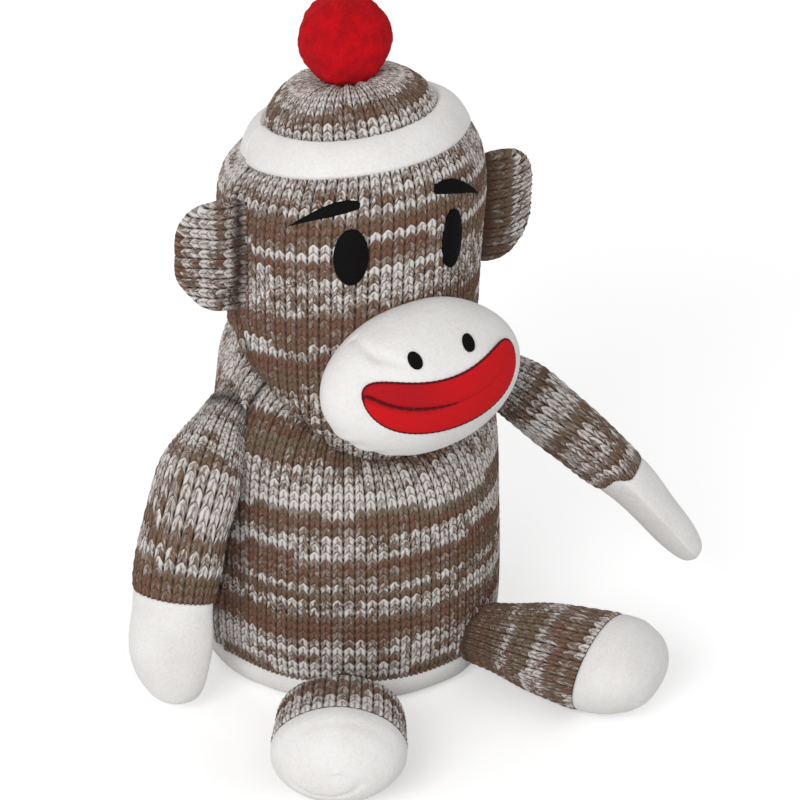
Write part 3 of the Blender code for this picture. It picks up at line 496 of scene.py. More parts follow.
def knit_relief(points, across, along, depth=STITCH_DEPTH):
    """Raise a smooth grid into stitches."""
    height = (stitch_height(across, along) - RELIEF_MIDDLE) * depth
    return points + surface_normals(points) * height[..., None]


def crease_height(turn):
    """Height of the crease under the head at a turn from the front."""
    return CREASE_SIDE - CREASE_SLOPE * np.cos(turn) - CREASE_BOW * np.cos(turn) ** 2


def courses_up(points):
    """Courses of knitting up each column of a grid, by the length of cloth below each place."""
    steps = np.linalg.norm(np.diff(points, axis=0), axis=2)
    return np.vstack([np.zeros((1, points.shape[1])), np.cumsum(steps, axis=0)]) / COURSE_HEIGHT


body_columns = BODY_WALES * BODY_WALE_POINTS
body_turns = turns_round(body_columns)
body_curve = smooth_curve(BODY_OUTLINE, BODY_ROWS)
body_level = body_curve[:, 1:2]
body_crease = crease_height(body_turns)[None, :]
body_chest = (CHEST_LEVEL - CHEST_SLOPE * np.cos(body_turns))[None, :]
body_share = (body_level - BODY_CHEST) / (CREASE_LEVEL - BODY_CHEST)
body_height = np.where(
    body_share > 0,
    body_chest + body_share * (body_crease - body_chest),
    BODY_HEM + (body_level - BODY_HEM) * (body_chest - BODY_HEM) / (BODY_CHEST - BODY_HEM),
)
body_nape = NAPE_HOLLOW * np.sin(math.pi * np.clip(body_share, 0, 1))
body_nape = body_nape + NAPE_TUCK * bell(body_share - NAPE_TUCK_SHARE, NAPE_TUCK_WIDTH)
# The hollow is there behind, and fades out round the sides
body_radius = body_curve[:, :1] - body_nape * smooth_step(0.25 - 1.5 * np.cos(body_turns))[None, :]
body_points = level_rings(body_radius, body_height, body_turns)
body_normals = surface_normals(body_points)
body_gather = gathers(body_turns, body_height - body_crease)
body_points = body_points + body_normals * (
    ripple(body_points, *BODY_RIPPLE, 3) + body_gather * GATHER_DEPTH)[..., None]
body_seam_shade, body_sewn = side_seams(BODY_SEAM, body_turns, body_height, body_radius)
body_points = body_points + body_normals * body_sewn[..., None]
body_across = wales_round(BODY_WALES, body_columns)
body_along = courses_up(body_points) - HIDDEN_HEM_COURSES
body_back = np.abs(body_turns)[None, :] > seam_turn(BODY_SEAM, body_height)
body_along = body_along + BACK_STITCH_OFFSET * body_back
body_points = knit_relief(body_points, body_across[:, :-1], body_along)
body_cover = grid_piece(
    "body_cover", body_points, ragg_knit("body_ragg_knit", 1.0, BODY_YARN, BODY_WALES),
    body_across, closed_round(body_along), start_cap=True, end_cap=True,
)
# Painted shade along the side seams, kept for the knit's finish to read
add_shade(body_cover, "seam", body_seam_shade)
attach(body_cover, "torso")
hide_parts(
    "body_front_panel", "body_back_panel", "body_stuffing", "pellet_bag",
    "neck_stuffing",
)


# The base: a round of white plush with a rolled edge, sewn to the hem of the body cover. It is what
# the doll sits on, so its middle is flat.
BASE_SIDES = 144
BASE_ROWS = 60
BASE_OUTLINE = (
    (0.0006, 0.0001), (0.020, 0.0001), (0.040, 0.0001), (0.0490, 0.0003), (0.0535, 0.0016),
    (0.0560, 0.0046), (0.0567, 0.0080), (0.0559, 0.0108), (0.0534, 0.0122), (0.0500, 0.0122),
)
BASE_FLAT_RADIUS = 0.046
BASE_ROLL_WIDTH = 0.008
BASE_RIPPLE = (0.020, 0.0003)
PLUSH_WHITE = (0.87, 0.855, 0.84)
PLUSH_HOLLOW = (0.79, 0.765, 0.745)


def white_plush(name):
    """Short white velour: fine nap that shades a little where it parts."""
    plush = Finish(name, 0.95, Sheen_Weight=0.12, Sheen_Roughness=0.45)
    plush.shader.inputs["Specular IOR Level"].default_value = 0.12
    place = plush.add("TexCoord", output=3)
    nap = plush.noise(place, 900.0, 3.0, 0.6)
    drift = plush.noise(place, 60.0, 2.0)
    tone = plush.math("MULTIPLY_ADD", drift, 0.5, plush.math("MULTIPLY", nap, 0.5))
    colour = plush.blend(plush.spread(tone, 0.34, 0.56), PLUSH_HOLLOW, PLUSH_WHITE)
    plush.feed(plush.shader.inputs["Base Color"], colour)
    height = plush.math("MULTIPLY_ADD", plush.noise(place, 350.0, 2.0), 0.7, nap)
    plush.feed(plush.shader.inputs["Normal"], plush.bump(height, 0.00025))
    return plush.material


plush_finish = white_plush("white_plush")
base_curve = smooth_curve(BASE_OUTLINE, BASE_ROWS)
base_points = level_rings(base_curve[:, :1], base_curve[:, 1:], turns_round(BASE_SIDES))
base_roll = smooth_step((base_curve[:, 0] - BASE_FLAT_RADIUS) / BASE_ROLL_WIDTH)[:, None, None]
base_uneven = ripple(base_points, *BASE_RIPPLE, 11)[..., None]
base_points = base_points + surface_normals(base_points) * base_roll * base_uneven
base_cover = grid_piece("base_cover", base_points, plush_finish, start_cap=True, end_cap=True)
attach(base_cover, "torso")
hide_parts("base_panel")


# The head cover: a second knitted tube, fuller stitched than the body, from the crease at the neck
# to under the hat band. It has a seam down each side.
HEAD_WALES = 70
HEAD_ROWS = 188
HEAD_TOP_COURSE = 35
FACE_LEVEL = 0.1785
HAT_OFFSET = (0.0023, 0.0)
HAT_PITCH = math.radians(-4)
HAT_ROLL = math.radians(6)
HAT_HEIGHT = 0.2074
# Half width and height of the head cover, and how much of the hat's offset and lean it has there
HEAD_OUTLINE = (
    (0.0335, 0.1075, 0.0, 0.0), (0.0365, 0.1115, 0.0, 0.0), (0.0405, 0.1142, 0.0, 0.0),
    (0.0440, 0.1185, 0.0, 0.0), (0.0460, 0.1258, 0.0, 0.0), (0.0470, 0.1362, 0.0, 0.0),
    (0.0479, 0.1475, 0.05, 0.0), (0.0484, 0.1600, 0.15, 0.0), (0.0488, 0.1721, 0.25, 0.05),
    (0.0491, 0.1830, 0.4, 0.15), (0.0488, 0.1915, 0.55, 0.3), (0.0473, 0.1985, 0.75, 0.55),
    (0.0448, 0.2035, 0.9, 0.8), (0.0413, 0.2074, 1.0, 1.0), (0.0386, 0.2100, 1.0, 1.0),
    (0.0354, 0.2136, 1.0, 1.0),
)
HEAD_RIPPLE = (0.050, 0.0004)
# Below this height over the crease the cloth is slack, and lies in flatter and closer folds
SLACK_HEIGHT = 0.045
SLACK_FADE = 0.03
SLACK_RIPPLE = (0.024, 0.0006)
SLACK_FLATNESS = (1, 1, 2.2)
HEAD_SEAM = ((0.10, 76.0), (0.13, 78.0), (0.145, 85.0), (0.19, 88.0), (0.22, 92.0))
# The yarn's colour in each course, from the crease up to under the band
HEAD_YARN = "mbbmgmgmbbrrwbrrgmmmmwbrwbrbwgwmwmm"


def leaned(points, offset, lean, height):
    """Move level rings by a share of the hat's offset and turn them by a share of its lean."""
    pitch, roll = HAT_PITCH * lean, -HAT_ROLL * lean
    x, y, z = points[..., 0], points[..., 1], points[..., 2] - height
    y, z = y * np.cos(pitch) - z * np.sin(pitch), y * np.sin(pitch) + z * np.cos(pitch)
    x, z = x * np.cos(roll) + z * np.sin(roll), -x * np.sin(roll) + z * np.cos(roll)
    return np.stack([x + HAT_OFFSET[0] * offset, y + HAT_OFFSET[1] * offset, z + height], axis=-1)


def head_rise(level, turn):
    """Height of the head cover's nominal level at a turn: below the face it follows the crease."""
    crease = crease_height(turn)
    share = (level - CREASE_LEVEL) / (FACE_LEVEL - CREASE_LEVEL)
    between = crease + share * (FACE_LEVEL - crease)
    return np.where(share > 1, level, np.where(share > 0, between, level + crease - CREASE_LEVEL))


head_columns = HEAD_WALES * WALE_POINTS
head_turns = turns_round(head_columns)
head_curve = smooth_curve(HEAD_OUTLINE, HEAD_ROWS)
head_radius = np.repeat(head_curve[:, :1], head_columns, axis=1)
head_level = head_curve[:, 1:2]
head_height = head_rise(head_level, head_turns[None, :])
head_points = leaned(
    level_rings(head_radius, head_height, head_turns), head_curve[:, 2:3], head_curve[:, 3:4],
    head_level,
)
head_normals = surface_normals(head_points)
head_above = head_height - crease_height(head_turns)[None, :]
head_slack = smooth_step((SLACK_HEIGHT - head_above) / SLACK_FADE)
head_points = head_points + head_normals * (
    ripple(head_points, *HEAD_RIPPLE, 5)
    + ripple(head_points * SLACK_FLATNESS, *SLACK_RIPPLE, 6) * head_slack
    + gathers(head_turns, head_above) * GATHER_DEPTH
)[..., None]
head_seam_shade, head_sewn = side_seams(HEAD_SEAM, head_turns, head_height, head_radius)
head_points = head_points + head_normals * head_sewn[..., None]
head_across = wales_round(HEAD_WALES, head_columns)
head_along = courses_up(head_points)
head_along = HEAD_TOP_COURSE - (head_along[-1:] - head_along)
head_back = np.abs(head_turns)[None, :] > seam_turn(HEAD_SEAM, head_height)
head_along = head_along + BACK_STITCH_OFFSET * head_back
head_points = knit_relief(head_points, head_across[:, :-1], head_along)
head_cover = grid_piece(
    "head_cover", head_points, ragg_knit("head_ragg_knit", 2.0, HEAD_YARN, HEAD_WALES),
    head_across, closed_round(head_along), start_cap=True, end_cap=True,
)
# Painted shade along the side seams, kept for the knit's finish to read
add_shade(head_cover, "seam", head_seam_shade)
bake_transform(head_cover)
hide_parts("head_front_panel", "head_back_panel", "head_stuffing")


# The hat: a knitted crown drawn together at its top, a turned-up band of white plush round its
# edge, made of a front and a back strip, and a felted red ball sewn into the dimple.
HAT_RADIUS = 0.0409
CROWN_HEIGHT = 0.0262
# Half width and height of the crown, as shares of the full ones
CROWN_SHARES = (
    (1.0, 0.0), (0.94, 0.10), (0.86, 0.24), (0.78, 0.37), (0.755, 0.47), (0.72, 0.58), (0.65, 0.70),
    (0.55, 0.81), (0.43, 0.90), (0.29, 0.96), (0.13, 0.985), (0.0, 1.0),
)
CROWN_DIMPLE = 0.0058
CROWN_DIMPLE_RADIUS = 0.012
CROWN_START_RADIUS = 0.0352
CROWN_END_RADIUS = 0.0004
CROWN_RIPPLE = (0.03, 0.0005)
# Inside this radius the cloth is drawn together in folds, and its stitches lie flatter
CROWN_GATHER_RADIUS = 0.026
CROWN_GATHER_WIDTH = 0.012
CROWN_FOLD_COUNT = 14
CROWN_FOLD_DEPTH = 0.0006
CROWN_FLAT_RADIUS = 0.020
CROWN_WALES = 46
CROWN_COURSES = 14
CROWN_YARN = "mwwmbbmwwwwmmm"
BAND_END_RADIUS = 0.0317
BAND_THICK = 0.0028
BAND_SIDES = 360
BAND_POINTS = 26
BAND_ROWS = 44
# How far the band stands off the crown and the head, and how far its hidden side sinks in them
BAND_CLEARANCE = 0.0003
BAND_SINK = 0.0004
BAND_RIPPLE = (0.022, 0.0003)
BAND_SEAM_TURN = math.radians(96)
BAND_SEAM_SLANT = math.radians(8)
# The front strip laps over the back one: its rise, and the depth and half width of the stitching
BAND_LAP = 0.0007
BAND_LAP_WIDTH = 0.0012
BAND_SEAM_DEPTH = 0.0008
BAND_SEAM_WIDTH = 0.0009
POMPOM_RADIUS = 0.0170
POMPOM_ROWS = 72
POMPOM_SIDES = 120
POMPOM_LUMPS = (0.016, 0.00045)
POMPOM_NAP = (0.0030, 0.00022)
POMPOM_GAP = 0.0002
POMPOM_RED = (0.68, 0.006, 0.012)
POMPOM_DEEP_RED = (0.40, 0.006, 0.013)
POMPOM_ASIDE = (0.0012, -0.0006, 0.0)
hat_place = np.array([0, 0, HAT_HEIGHT])


def on_hat(points):
    """Take points from the hat's own axis to where the hat sits on the head."""
    return leaned(points + hat_place, 1.0, 1.0, HAT_HEIGHT)


crown_fine = smooth_curve(np.array(CROWN_SHARES) * (HAT_RADIUS, CROWN_HEIGHT), 600)
crown_fine[:, 1] -= CROWN_DIMPLE * bell(crown_fine[:, 0], CROWN_DIMPLE_RADIUS)
crown_inside = (crown_fine[:, 0] < CROWN_START_RADIUS) & (crown_fine[:, 0] > CROWN_END_RADIUS)
crown_line = smooth_curve(crown_fine[crown_inside][::12], CROWN_COURSES * COURSE_POINTS + 1)
crown_radius = crown_line[:, :1]
crown_columns = CROWN_WALES * WALE_POINTS
crown_turns = turns_round(crown_columns)
crown_points = level_rings(crown_radius, crown_line[:, 1:], crown_turns)
crown_across = wales_round(CROWN_WALES, crown_columns)
crown_along = CROWN_COURSES * np.arange(len(crown_line))[:, None] / (len(crown_line) - 1)
crown_folds = smooth_step((CROWN_GATHER_RADIUS - crown_radius) / CROWN_GATHER_WIDTH)
crown_folds = CROWN_FOLD_DEPTH * crown_folds * np.cos(CROWN_FOLD_COUNT * crown_turns)[None, :]
crown_points = crown_points + surface_normals(crown_points) * (
    crown_folds + ripple(crown_points, *CROWN_RIPPLE, 8))[..., None]
crown_depth = STITCH_DEPTH * np.clip(crown_radius / CROWN_FLAT_RADIUS, 0.15, 1)
crown_points = knit_relief(crown_points, crown_across[:, :-1], crown_along, depth=crown_depth)
hat_crown_cover = grid_piece(
    "hat_crown_cover", on_hat(crown_points),
    ragg_knit("hat_ragg_knit", 3.0, CROWN_YARN, CROWN_WALES), crown_across, crown_along,
    start_cap=True, end_cap=True,
)
add_shade(hat_crown_cover, "seam", np.zeros(1))
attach(hat_crown_cover, "head")
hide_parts("hat_crown")

band_base = crown_fine[crown_fine[:, 0] > BAND_END_RADIUS]
band_base = smooth_curve(band_base[::10], BAND_POINTS)
band_slope = np.gradient(band_base, axis=0)
band_out = unit(np.column_stack([band_slope[:, 1], -band_slope[:, 0]]))
band_swell = BAND_THICK * np.sin(math.pi * np.linspace(0.04, 0.96, BAND_POINTS)) ** 0.42
band_outer = band_base + band_out * (BAND_CLEARANCE + band_swell)[:, None]
band_inner = band_base - band_out * BAND_SINK
band_line = smooth_curve(np.vstack([band_inner[:1], band_outer, band_inner[-1:]]), BAND_ROWS)
band_turns = turns_round(BAND_SIDES)
band_points = level_rings(band_line[:, :1], band_line[:, 1:], band_turns)
band_seam = BAND_SEAM_TURN + BAND_SEAM_SLANT * np.linspace(0, 1, len(band_line))[:, None]
band_off = (np.abs(band_turns)[None, :] - band_seam) * band_line[:, :1]
band_step = BAND_LAP * smooth_step(0.5 - band_off / BAND_LAP_WIDTH)
band_step = band_step - BAND_SEAM_DEPTH * bell(band_off - BAND_LAP_WIDTH / 3, BAND_SEAM_WIDTH)
band_points = band_points + surface_normals(band_points) * (
    ripple(band_points, *BAND_RIPPLE, 21) + band_step)[..., None]
hat_band_cover = grid_piece("hat_band_cover", on_hat(band_points), plush_finish)
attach(hat_band_cover, "head")
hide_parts("hat_band")

felt = Finish("red_felt_ball", 0.95, Sheen_Weight=0.06, Sheen_Roughness=0.4)
felt.shader.inputs["Specular IOR Level"].default_value = 0.08
felt.shader.inputs["Sheen Tint"].default_value = (1.0, 0.25, 0.22, 1)
felt_place = felt.add("TexCoord", output=3)
felt_fuzz = felt.noise(felt_place, 1400.0, 3.0, 0.7)
felt_drift = felt.noise(felt_place, 210.0, 2.0)
felt_tone = felt.math("MULTIPLY_ADD", felt_fuzz, 0.4, felt.math("MULTIPLY", felt_drift, 0.6))
felt_colour = felt.blend(felt.spread(felt_tone, 0.32, 0.60), POMPOM_DEEP_RED, POMPOM_RED)
felt.feed(felt.shader.inputs["Base Color"], felt_colour)
felt.feed(felt.shader.inputs["Normal"], felt.bump(felt_fuzz, 0.0008))
ball_up = np.linspace(-math.pi / 2 + 0.02, math.pi / 2 - 0.02, POMPOM_ROWS)[:, None]
ball_ways = level_rings(np.cos(ball_up), np.sin(ball_up), turns_round(POMPOM_SIDES, 0.0))
ball_points = POMPOM_RADIUS * ball_ways
ball_points = ball_points + ball_ways * (
    ripple(ball_points, *POMPOM_LUMPS, 31) + ripple(ball_points, *POMPOM_NAP, 32))[..., None]
ball_seat = np.array([0, 0, CROWN_HEIGHT - CROWN_DIMPLE + POMPOM_GAP + POMPOM_RADIUS])
pompom_ball = grid_piece(
    "pompom_ball", on_hat(ball_points + ball_seat) + np.array(POMPOM_ASIDE), felt.material,
    start_cap=True, end_cap=True,
)
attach(pompom_ball, "head")
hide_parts("pompom")


# The ears: two rounds of knitting each, sewn together round their rims, lightly filled, and caught
# in the side seams of the head. Their stitches lie on their sides.
EAR_REACHES = {"right": 0.0243, "left": 0.0208}
EAR_RISES = {"right": 0.0025, "left": 0.0}
EAR_HALF_HEIGHT = 0.0213
EAR_SAG = 0.0036
EAR_HALF_THICK = 0.0054
EAR_CUP = 0.0030
EAR_SWEEP = math.radians(8)
EAR_WALE = 0.0038
EAR_ROWS = 46
EAR_COLUMNS = 220
EAR_RIPPLE = (0.018, 0.0005)
# The stitches of the ears stand this share as high as the body's
EAR_RELIEF = 0.7
EAR_RIM_SEAM_DEPTH = 0.0006
EAR_ROOT_SHADE = 0.10
# Rings from the head to the rim: how far out, how tall and how thick, as shares of the full sizes.
# Each is a flat oval, and the last closes on the rim
EAR_OUTLINE = (
    (-0.16, 0.88, 0.30), (0.0, 0.96, 0.34), (0.14, 1.0, 0.66), (0.36, 0.98, 1.0), (0.58, 0.90, 1.0),
    (0.78, 0.74, 0.86), (0.92, 0.50, 0.62), (0.985, 0.24, 0.40), (1.0, 0.03, 0.10),
)
EARS = {
    # side: root on the ear's fold line, the way up along it, and its yarn from the head outward
    "right": ((-0.050283, -0.008391, 0.172843), (0.022364, 0.0, 0.99975), "gmbmwmgr"),
    "left": ((0.051491, -0.008391, 0.173241), (0.034075, 0.0, 0.999419), "brbbmmwm"),
}


def swell(turns, power):
    """Sine of each turn round a ring, fuller with a power under 1 and ridged with one over 1."""
    sine = np.sin(turns)[None, :]
    return np.sign(sine) * np.abs(sine) ** power


ear_line = smooth_curve(EAR_OUTLINE, EAR_ROWS)
ear_turns = turns_round(EAR_COLUMNS, 0.0)
for ear_side, (ear_root, ear_up, ear_yarn) in EARS.items():
    sign = -1 if ear_side == "right" else 1
    ear_root, ear_up = np.array(ear_root), np.array(ear_up)
    ear_out = sign * np.array([ear_up[2], 0, -ear_up[0]]) * math.cos(EAR_SWEEP)
    ear_out = ear_out + np.array([0, math.sin(EAR_SWEEP), 0])
    ear_back = sign * np.cross(ear_up, ear_out)
    tall = EAR_HALF_HEIGHT * ear_line[:, 1:2] * np.cos(ear_turns)
    thick = EAR_HALF_THICK * ear_line[:, 2:3] * swell(ear_turns, 0.8)
    reach = np.repeat(EAR_REACHES[ear_side] * ear_line[:, :1], EAR_COLUMNS, axis=1)
    rim_near = np.clip(ear_line[:, :1] ** 2 + (tall / EAR_HALF_HEIGHT) ** 2, 0, 1)
    cup = -EAR_CUP * rim_near * smooth_step(ear_line[:, :1] / 0.5)
    sag = EAR_SAG * (smooth_step(ear_line[:, :1]) - 0.28) + EAR_RISES[ear_side]
    ear_points = (
        ear_root + ear_up * (tall + sag)[..., None] + ear_out * reach[..., None]
        + ear_back * (sign * thick + cup)[..., None]
    )
    # The stitches lie straight across both faces: columns run outward and courses up and down
    ear_across, ear_along = tall / EAR_WALE, reach / COURSE_HEIGHT
    rim_turn = np.abs(np.cos(ear_turns))[None, :] ** 24
    ear_depth = EAR_RELIEF * STITCH_DEPTH * np.clip(ear_line[:, 1:2] / 0.4, 0.1, 1)
    ear_depth = ear_depth * (1 - 0.7 * rim_turn)
    ear_points = ear_points + surface_normals(ear_points) * (
        (stitch_height(ear_across, ear_along) - RELIEF_MIDDLE) * ear_depth
        - EAR_RIM_SEAM_DEPTH * rim_turn + ripple(ear_points, *EAR_RIPPLE, 35 + sign)
    )[..., None]
    ear_wales = 2 * EAR_HALF_HEIGHT / EAR_WALE
    ear_cover = grid_piece(
        f"ear_{ear_side}_cover", ear_points,
        ragg_knit(f"ear_{ear_side}_ragg_knit", 4.0 + sign, ear_yarn, ear_wales),
        closed_round(ear_across), closed_round(ear_along), start_cap=True, end_cap=True,
    )
    # Painted shade at the ear's root, where it meets the head, kept for the knit's finish to read
    ear_shade = bell(ear_line[:, :1], EAR_ROOT_SHADE)
    add_shade(ear_cover, "seam", np.repeat(ear_shade, EAR_COLUMNS, axis=1))
    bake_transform(ear_cover)
    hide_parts(f"ear_{ear_side}")


# The muzzle: a dome of white plush, stuffed hard and sewn to the face a little askew. The cloth has
# a small pucker by the doll's right nostril and a wavy edge under its right cheek.
MUZZLE_HALF_WIDTH = 0.0392
MUZZLE_HALF_HEIGHT = 0.0280
MUZZLE_FRONT_DEPTH = 0.0253
MUZZLE_BACK_DEPTH = 0.022
MUZZLE_PLACE = (0.0, -0.055, 0.1340)
MUZZLE_ROLL = math.radians(6)
MUZZLE_ROWS = 90
MUZZLE_SIDES = 180
MUZZLE_RIPPLE = (0.040, 0.0004)
PUCKER_PLACE = (-0.0228, 0.0206)
PUCKER_RADIUS = 0.0017
PUCKER_DEPTH = 0.0027
# How steeply each fold falls from the pucker, its length and its depth
PUCKER_FOLDS = ((math.radians(26), 0.0115, 0.0014), (math.radians(75), 0.0060, 0.0004))
FOLD_WIDTH = 0.0015
# The dome's front half, which alone is puckered, is forward of this place
PUCKER_BACK = 0.004
# Slack cloth under the right cheek: how far apart its waves are and how high, where it begins
# across, forward and up, and how far it takes to be full there
CHEEK_WAVE = 0.013
CHEEK_WAVE_HEIGHT = 0.0007
CHEEK_CORNER = (-0.010, -0.016, -0.004)
CHEEK_FADE = (0.02, 0.012, 0.014)
muzzle_turn = Matrix.Translation(MUZZLE_PLACE) @ Matrix.Rotation(-MUZZLE_ROLL, 4, "Y")
muzzle_axes = np.array(muzzle_turn.to_3x3())


def on_muzzle(points):
    """Take points from the muzzle's own axes (across, forward as -Y, up) to where it is sewn."""
    return points @ muzzle_axes.T + np.array(MUZZLE_PLACE)


def muzzle_dents(points):
    """How deep the cloth is drawn in by its pucker and by the folds that run from it."""
    x, z = points[..., 0] - PUCKER_PLACE[0], points[..., 2] - PUCKER_PLACE[1]
    dent = PUCKER_DEPTH * bell(np.hypot(x, z), PUCKER_RADIUS)
    for fall, length, depth in PUCKER_FOLDS:
        along = x * math.cos(fall) - z * math.sin(fall)
        off = x * math.sin(fall) + z * math.cos(fall)
        fold = smooth_step(along / 0.002) * smooth_step((length - along) / (0.6 * length))
        dent = dent + depth * bell(off - 0.04 * along, FOLD_WIDTH) * fold
    return np.where(points[..., 1] < PUCKER_BACK, dent, 0.0)


def muzzle_front(across, above, outward):
    """Places on the front of the dome, or off it, at places across and above its middle."""
    wide, high = across / MUZZLE_HALF_WIDTH, above / MUZZLE_HALF_HEIGHT
    depth = np.sqrt(np.clip(1 - wide ** 2 - high ** 2, 0, 1))
    way = unit(np.stack([
        wide / MUZZLE_HALF_WIDTH, -depth / MUZZLE_FRONT_DEPTH, high / MUZZLE_HALF_HEIGHT,
    ], -1))
    flat = np.stack([across, -MUZZLE_FRONT_DEPTH * depth, above], -1)
    return flat + way * (outward - muzzle_dents(flat))[..., None]


muzzle_angles = np.linspace(-math.pi / 2 + 0.35, math.pi / 2 - 0.012, MUZZLE_ROWS)[:, None]
muzzle_turns = turns_round(MUZZLE_SIDES, 0.0)
muzzle_depth = np.where(muzzle_angles > 0, MUZZLE_FRONT_DEPTH, MUZZLE_BACK_DEPTH)
muzzle_points = np.stack([
    MUZZLE_HALF_WIDTH * np.cos(muzzle_angles) * np.sin(muzzle_turns),
    -np.repeat(muzzle_depth * np.sin(muzzle_angles), MUZZLE_SIDES, axis=1),
    -MUZZLE_HALF_HEIGHT * np.cos(muzzle_angles) * np.cos(muzzle_turns),
], axis=-1)
cheek_x, cheek_y, cheek_z = np.moveaxis(muzzle_points - CHEEK_CORNER, -1, 0)
cheek = smooth_step(-cheek_x / CHEEK_FADE[0]) * smooth_step(-cheek_z / CHEEK_FADE[2])
cheek = CHEEK_WAVE_HEIGHT * cheek * smooth_step(cheek_y / CHEEK_FADE[1])
cheek_across = muzzle_points[..., 0] - muzzle_points[..., 2]
muzzle_points = muzzle_points + surface_normals(muzzle_points) * (
    ripple(muzzle_points, *MUZZLE_RIPPLE, 41)
    + cheek * np.sin(2 * math.pi * cheek_across / CHEEK_WAVE) - muzzle_dents(muzzle_points)
)[..., None]
muzzle_cover = grid_piece(
    "muzzle_cover", on_muzzle(muzzle_points), plush_finish, start_cap=True, end_cap=True,
)
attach(muzzle_cover, "head")
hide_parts("muzzle", "muzzle_stuffing")


# The mouth: a smile of red felt sewn on the muzzle with a dark red edge, and a line of stitches
# pulled down between its lips. It lies on the dome, so every place on it is taken from the dome.
MOUTH_HALF_WIDTH = 0.0306
MOUTH_HALF_HEIGHT = 0.0098
MOUTH_CURL = 0.0071
MOUTH_DROP = 0.0005
MOUTH_END_POWER = 5.5
MOUTH_POINTS = 121
MOUTH_RED = (0.61, 0.008, 0.012)
MOUTH_SHADE_RED = (0.40, 0.008, 0.014)
LIP_POINTS = 13
LIP_THICK = 0.0011
LIP_CLEARANCE = 0.0002
LIP_UNDER = 0.0006
LIP_ROLL_WIDTH = 0.0016
LIP_SHADE_WIDTH = 0.0016
GROOVE_WIDTH = 0.0011
GROOVE_DEPTH = 0.85
EDGE_RED = (0.080, 0.002, 0.005)
EDGE_PALE = 1.8
EDGE_RADIUS = 0.00045
EDGE_LIFT = 0.0004
# How far the edge thread's turns swell and narrow it, and how they step from place to place
EDGE_TURN_SHARE = 0.18
EDGE_TURN_STEP = 2.2
THREAD_SIDES = 8
# The stitched line: how high it stands off the cloth, and its radius, from its right end on
LINE_LIFTS = ((-0.975, 0.0007), (-0.2, 0.0006), (0.42, 0.0004))
LINE_RADII = ((-0.975, 0.00068), (-0.3, 0.00055), (0.42, 0.00030))
LINE_POINTS = 200
LINE_STITCHES = 15


def oval(share, power=2):
    """Half width of an oval, at a share of the way from its middle to its end."""
    return np.sqrt(np.clip(1 - np.abs(share) ** power, 0, 1))


def mouth_middle(share):
    """Height of the mouth's middle, at a share of its half width; the ends curl up."""
    return MOUTH_CURL * share ** 2 - MOUTH_DROP


def mouth_half(share):
    """Half the height of the mouth there."""
    return MOUTH_HALF_HEIGHT * oval(share, MOUTH_END_POWER)


def mouth_line(share):
    """Height of the line between the lips there."""
    return mouth_middle(share) + mouth_half(share) * (0.05 + 0.5 * share ** 8)


def tube_piece(name, centres, radius, finish, closed=False):
    """A round thread along places on the muzzle, each ring turned square to the way it runs."""
    if closed:
        ways = unit(np.roll(centres, -1, axis=0) - np.roll(centres, 1, axis=0))
    else:
        ways = unit(np.gradient(centres, axis=0))
    first = unit(np.cross(ways, centres - np.array(MUZZLE_PLACE)))
    second = np.cross(first, ways)
    turns = turns_round(THREAD_SIDES, 0.0)[None, :, None]
    rings = centres[:, None, :] + radius[:, None, None] * (
        first[:, None, :] * np.cos(turns) - second[:, None, :] * np.sin(turns))
    if closed:
        rings = np.vstack([rings, rings[:1]])
    return grid_piece(name, rings, finish, start_cap=not closed, end_cap=not closed)


red = Finish("mouth_red_felt", 0.85, Sheen_Weight=0.06, Sheen_Roughness=0.4)
red.shader.inputs["Specular IOR Level"].default_value = 0.15
red.shader.inputs["Sheen Tint"].default_value = (1.0, 0.25, 0.22, 1)
red_place = red.add("TexCoord", output=3)
red_nap = red.noise(red_place, 1300.0, 3.0, 0.7)
red_shade = red.add("Attribute", attribute_name="shade", output=2)
red_tone = red.math("MULTIPLY", red.math("SUBTRACT", red_nap, 0.5), 0.5)
red_tone = red.spread(red.math("ADD", red_shade, red_tone), 0.0, 1.0)
red.feed(red.shader.inputs["Base Color"], red.blend(red_tone, MOUTH_RED, MOUTH_SHADE_RED))
red.feed(red.shader.inputs["Normal"], red.bump(red_nap, 0.00025))

edge = Finish("dark_red_thread", 0.7, Sheen_Weight=0.04)
edge.shader.inputs["Specular IOR Level"].default_value = 0.15
edge_place = edge.add("TexCoord", output=3)
edge_strand = edge.noise(edge_place, 2500.0, 2.0)
edge_colour = edge.blend(edge_strand, EDGE_RED, tuple(EDGE_PALE * part for part in EDGE_RED))
edge.feed(edge.shader.inputs["Base Color"], edge_colour)
edge.feed(edge.shader.inputs["Normal"], edge.bump(edge_strand, 0.0002))

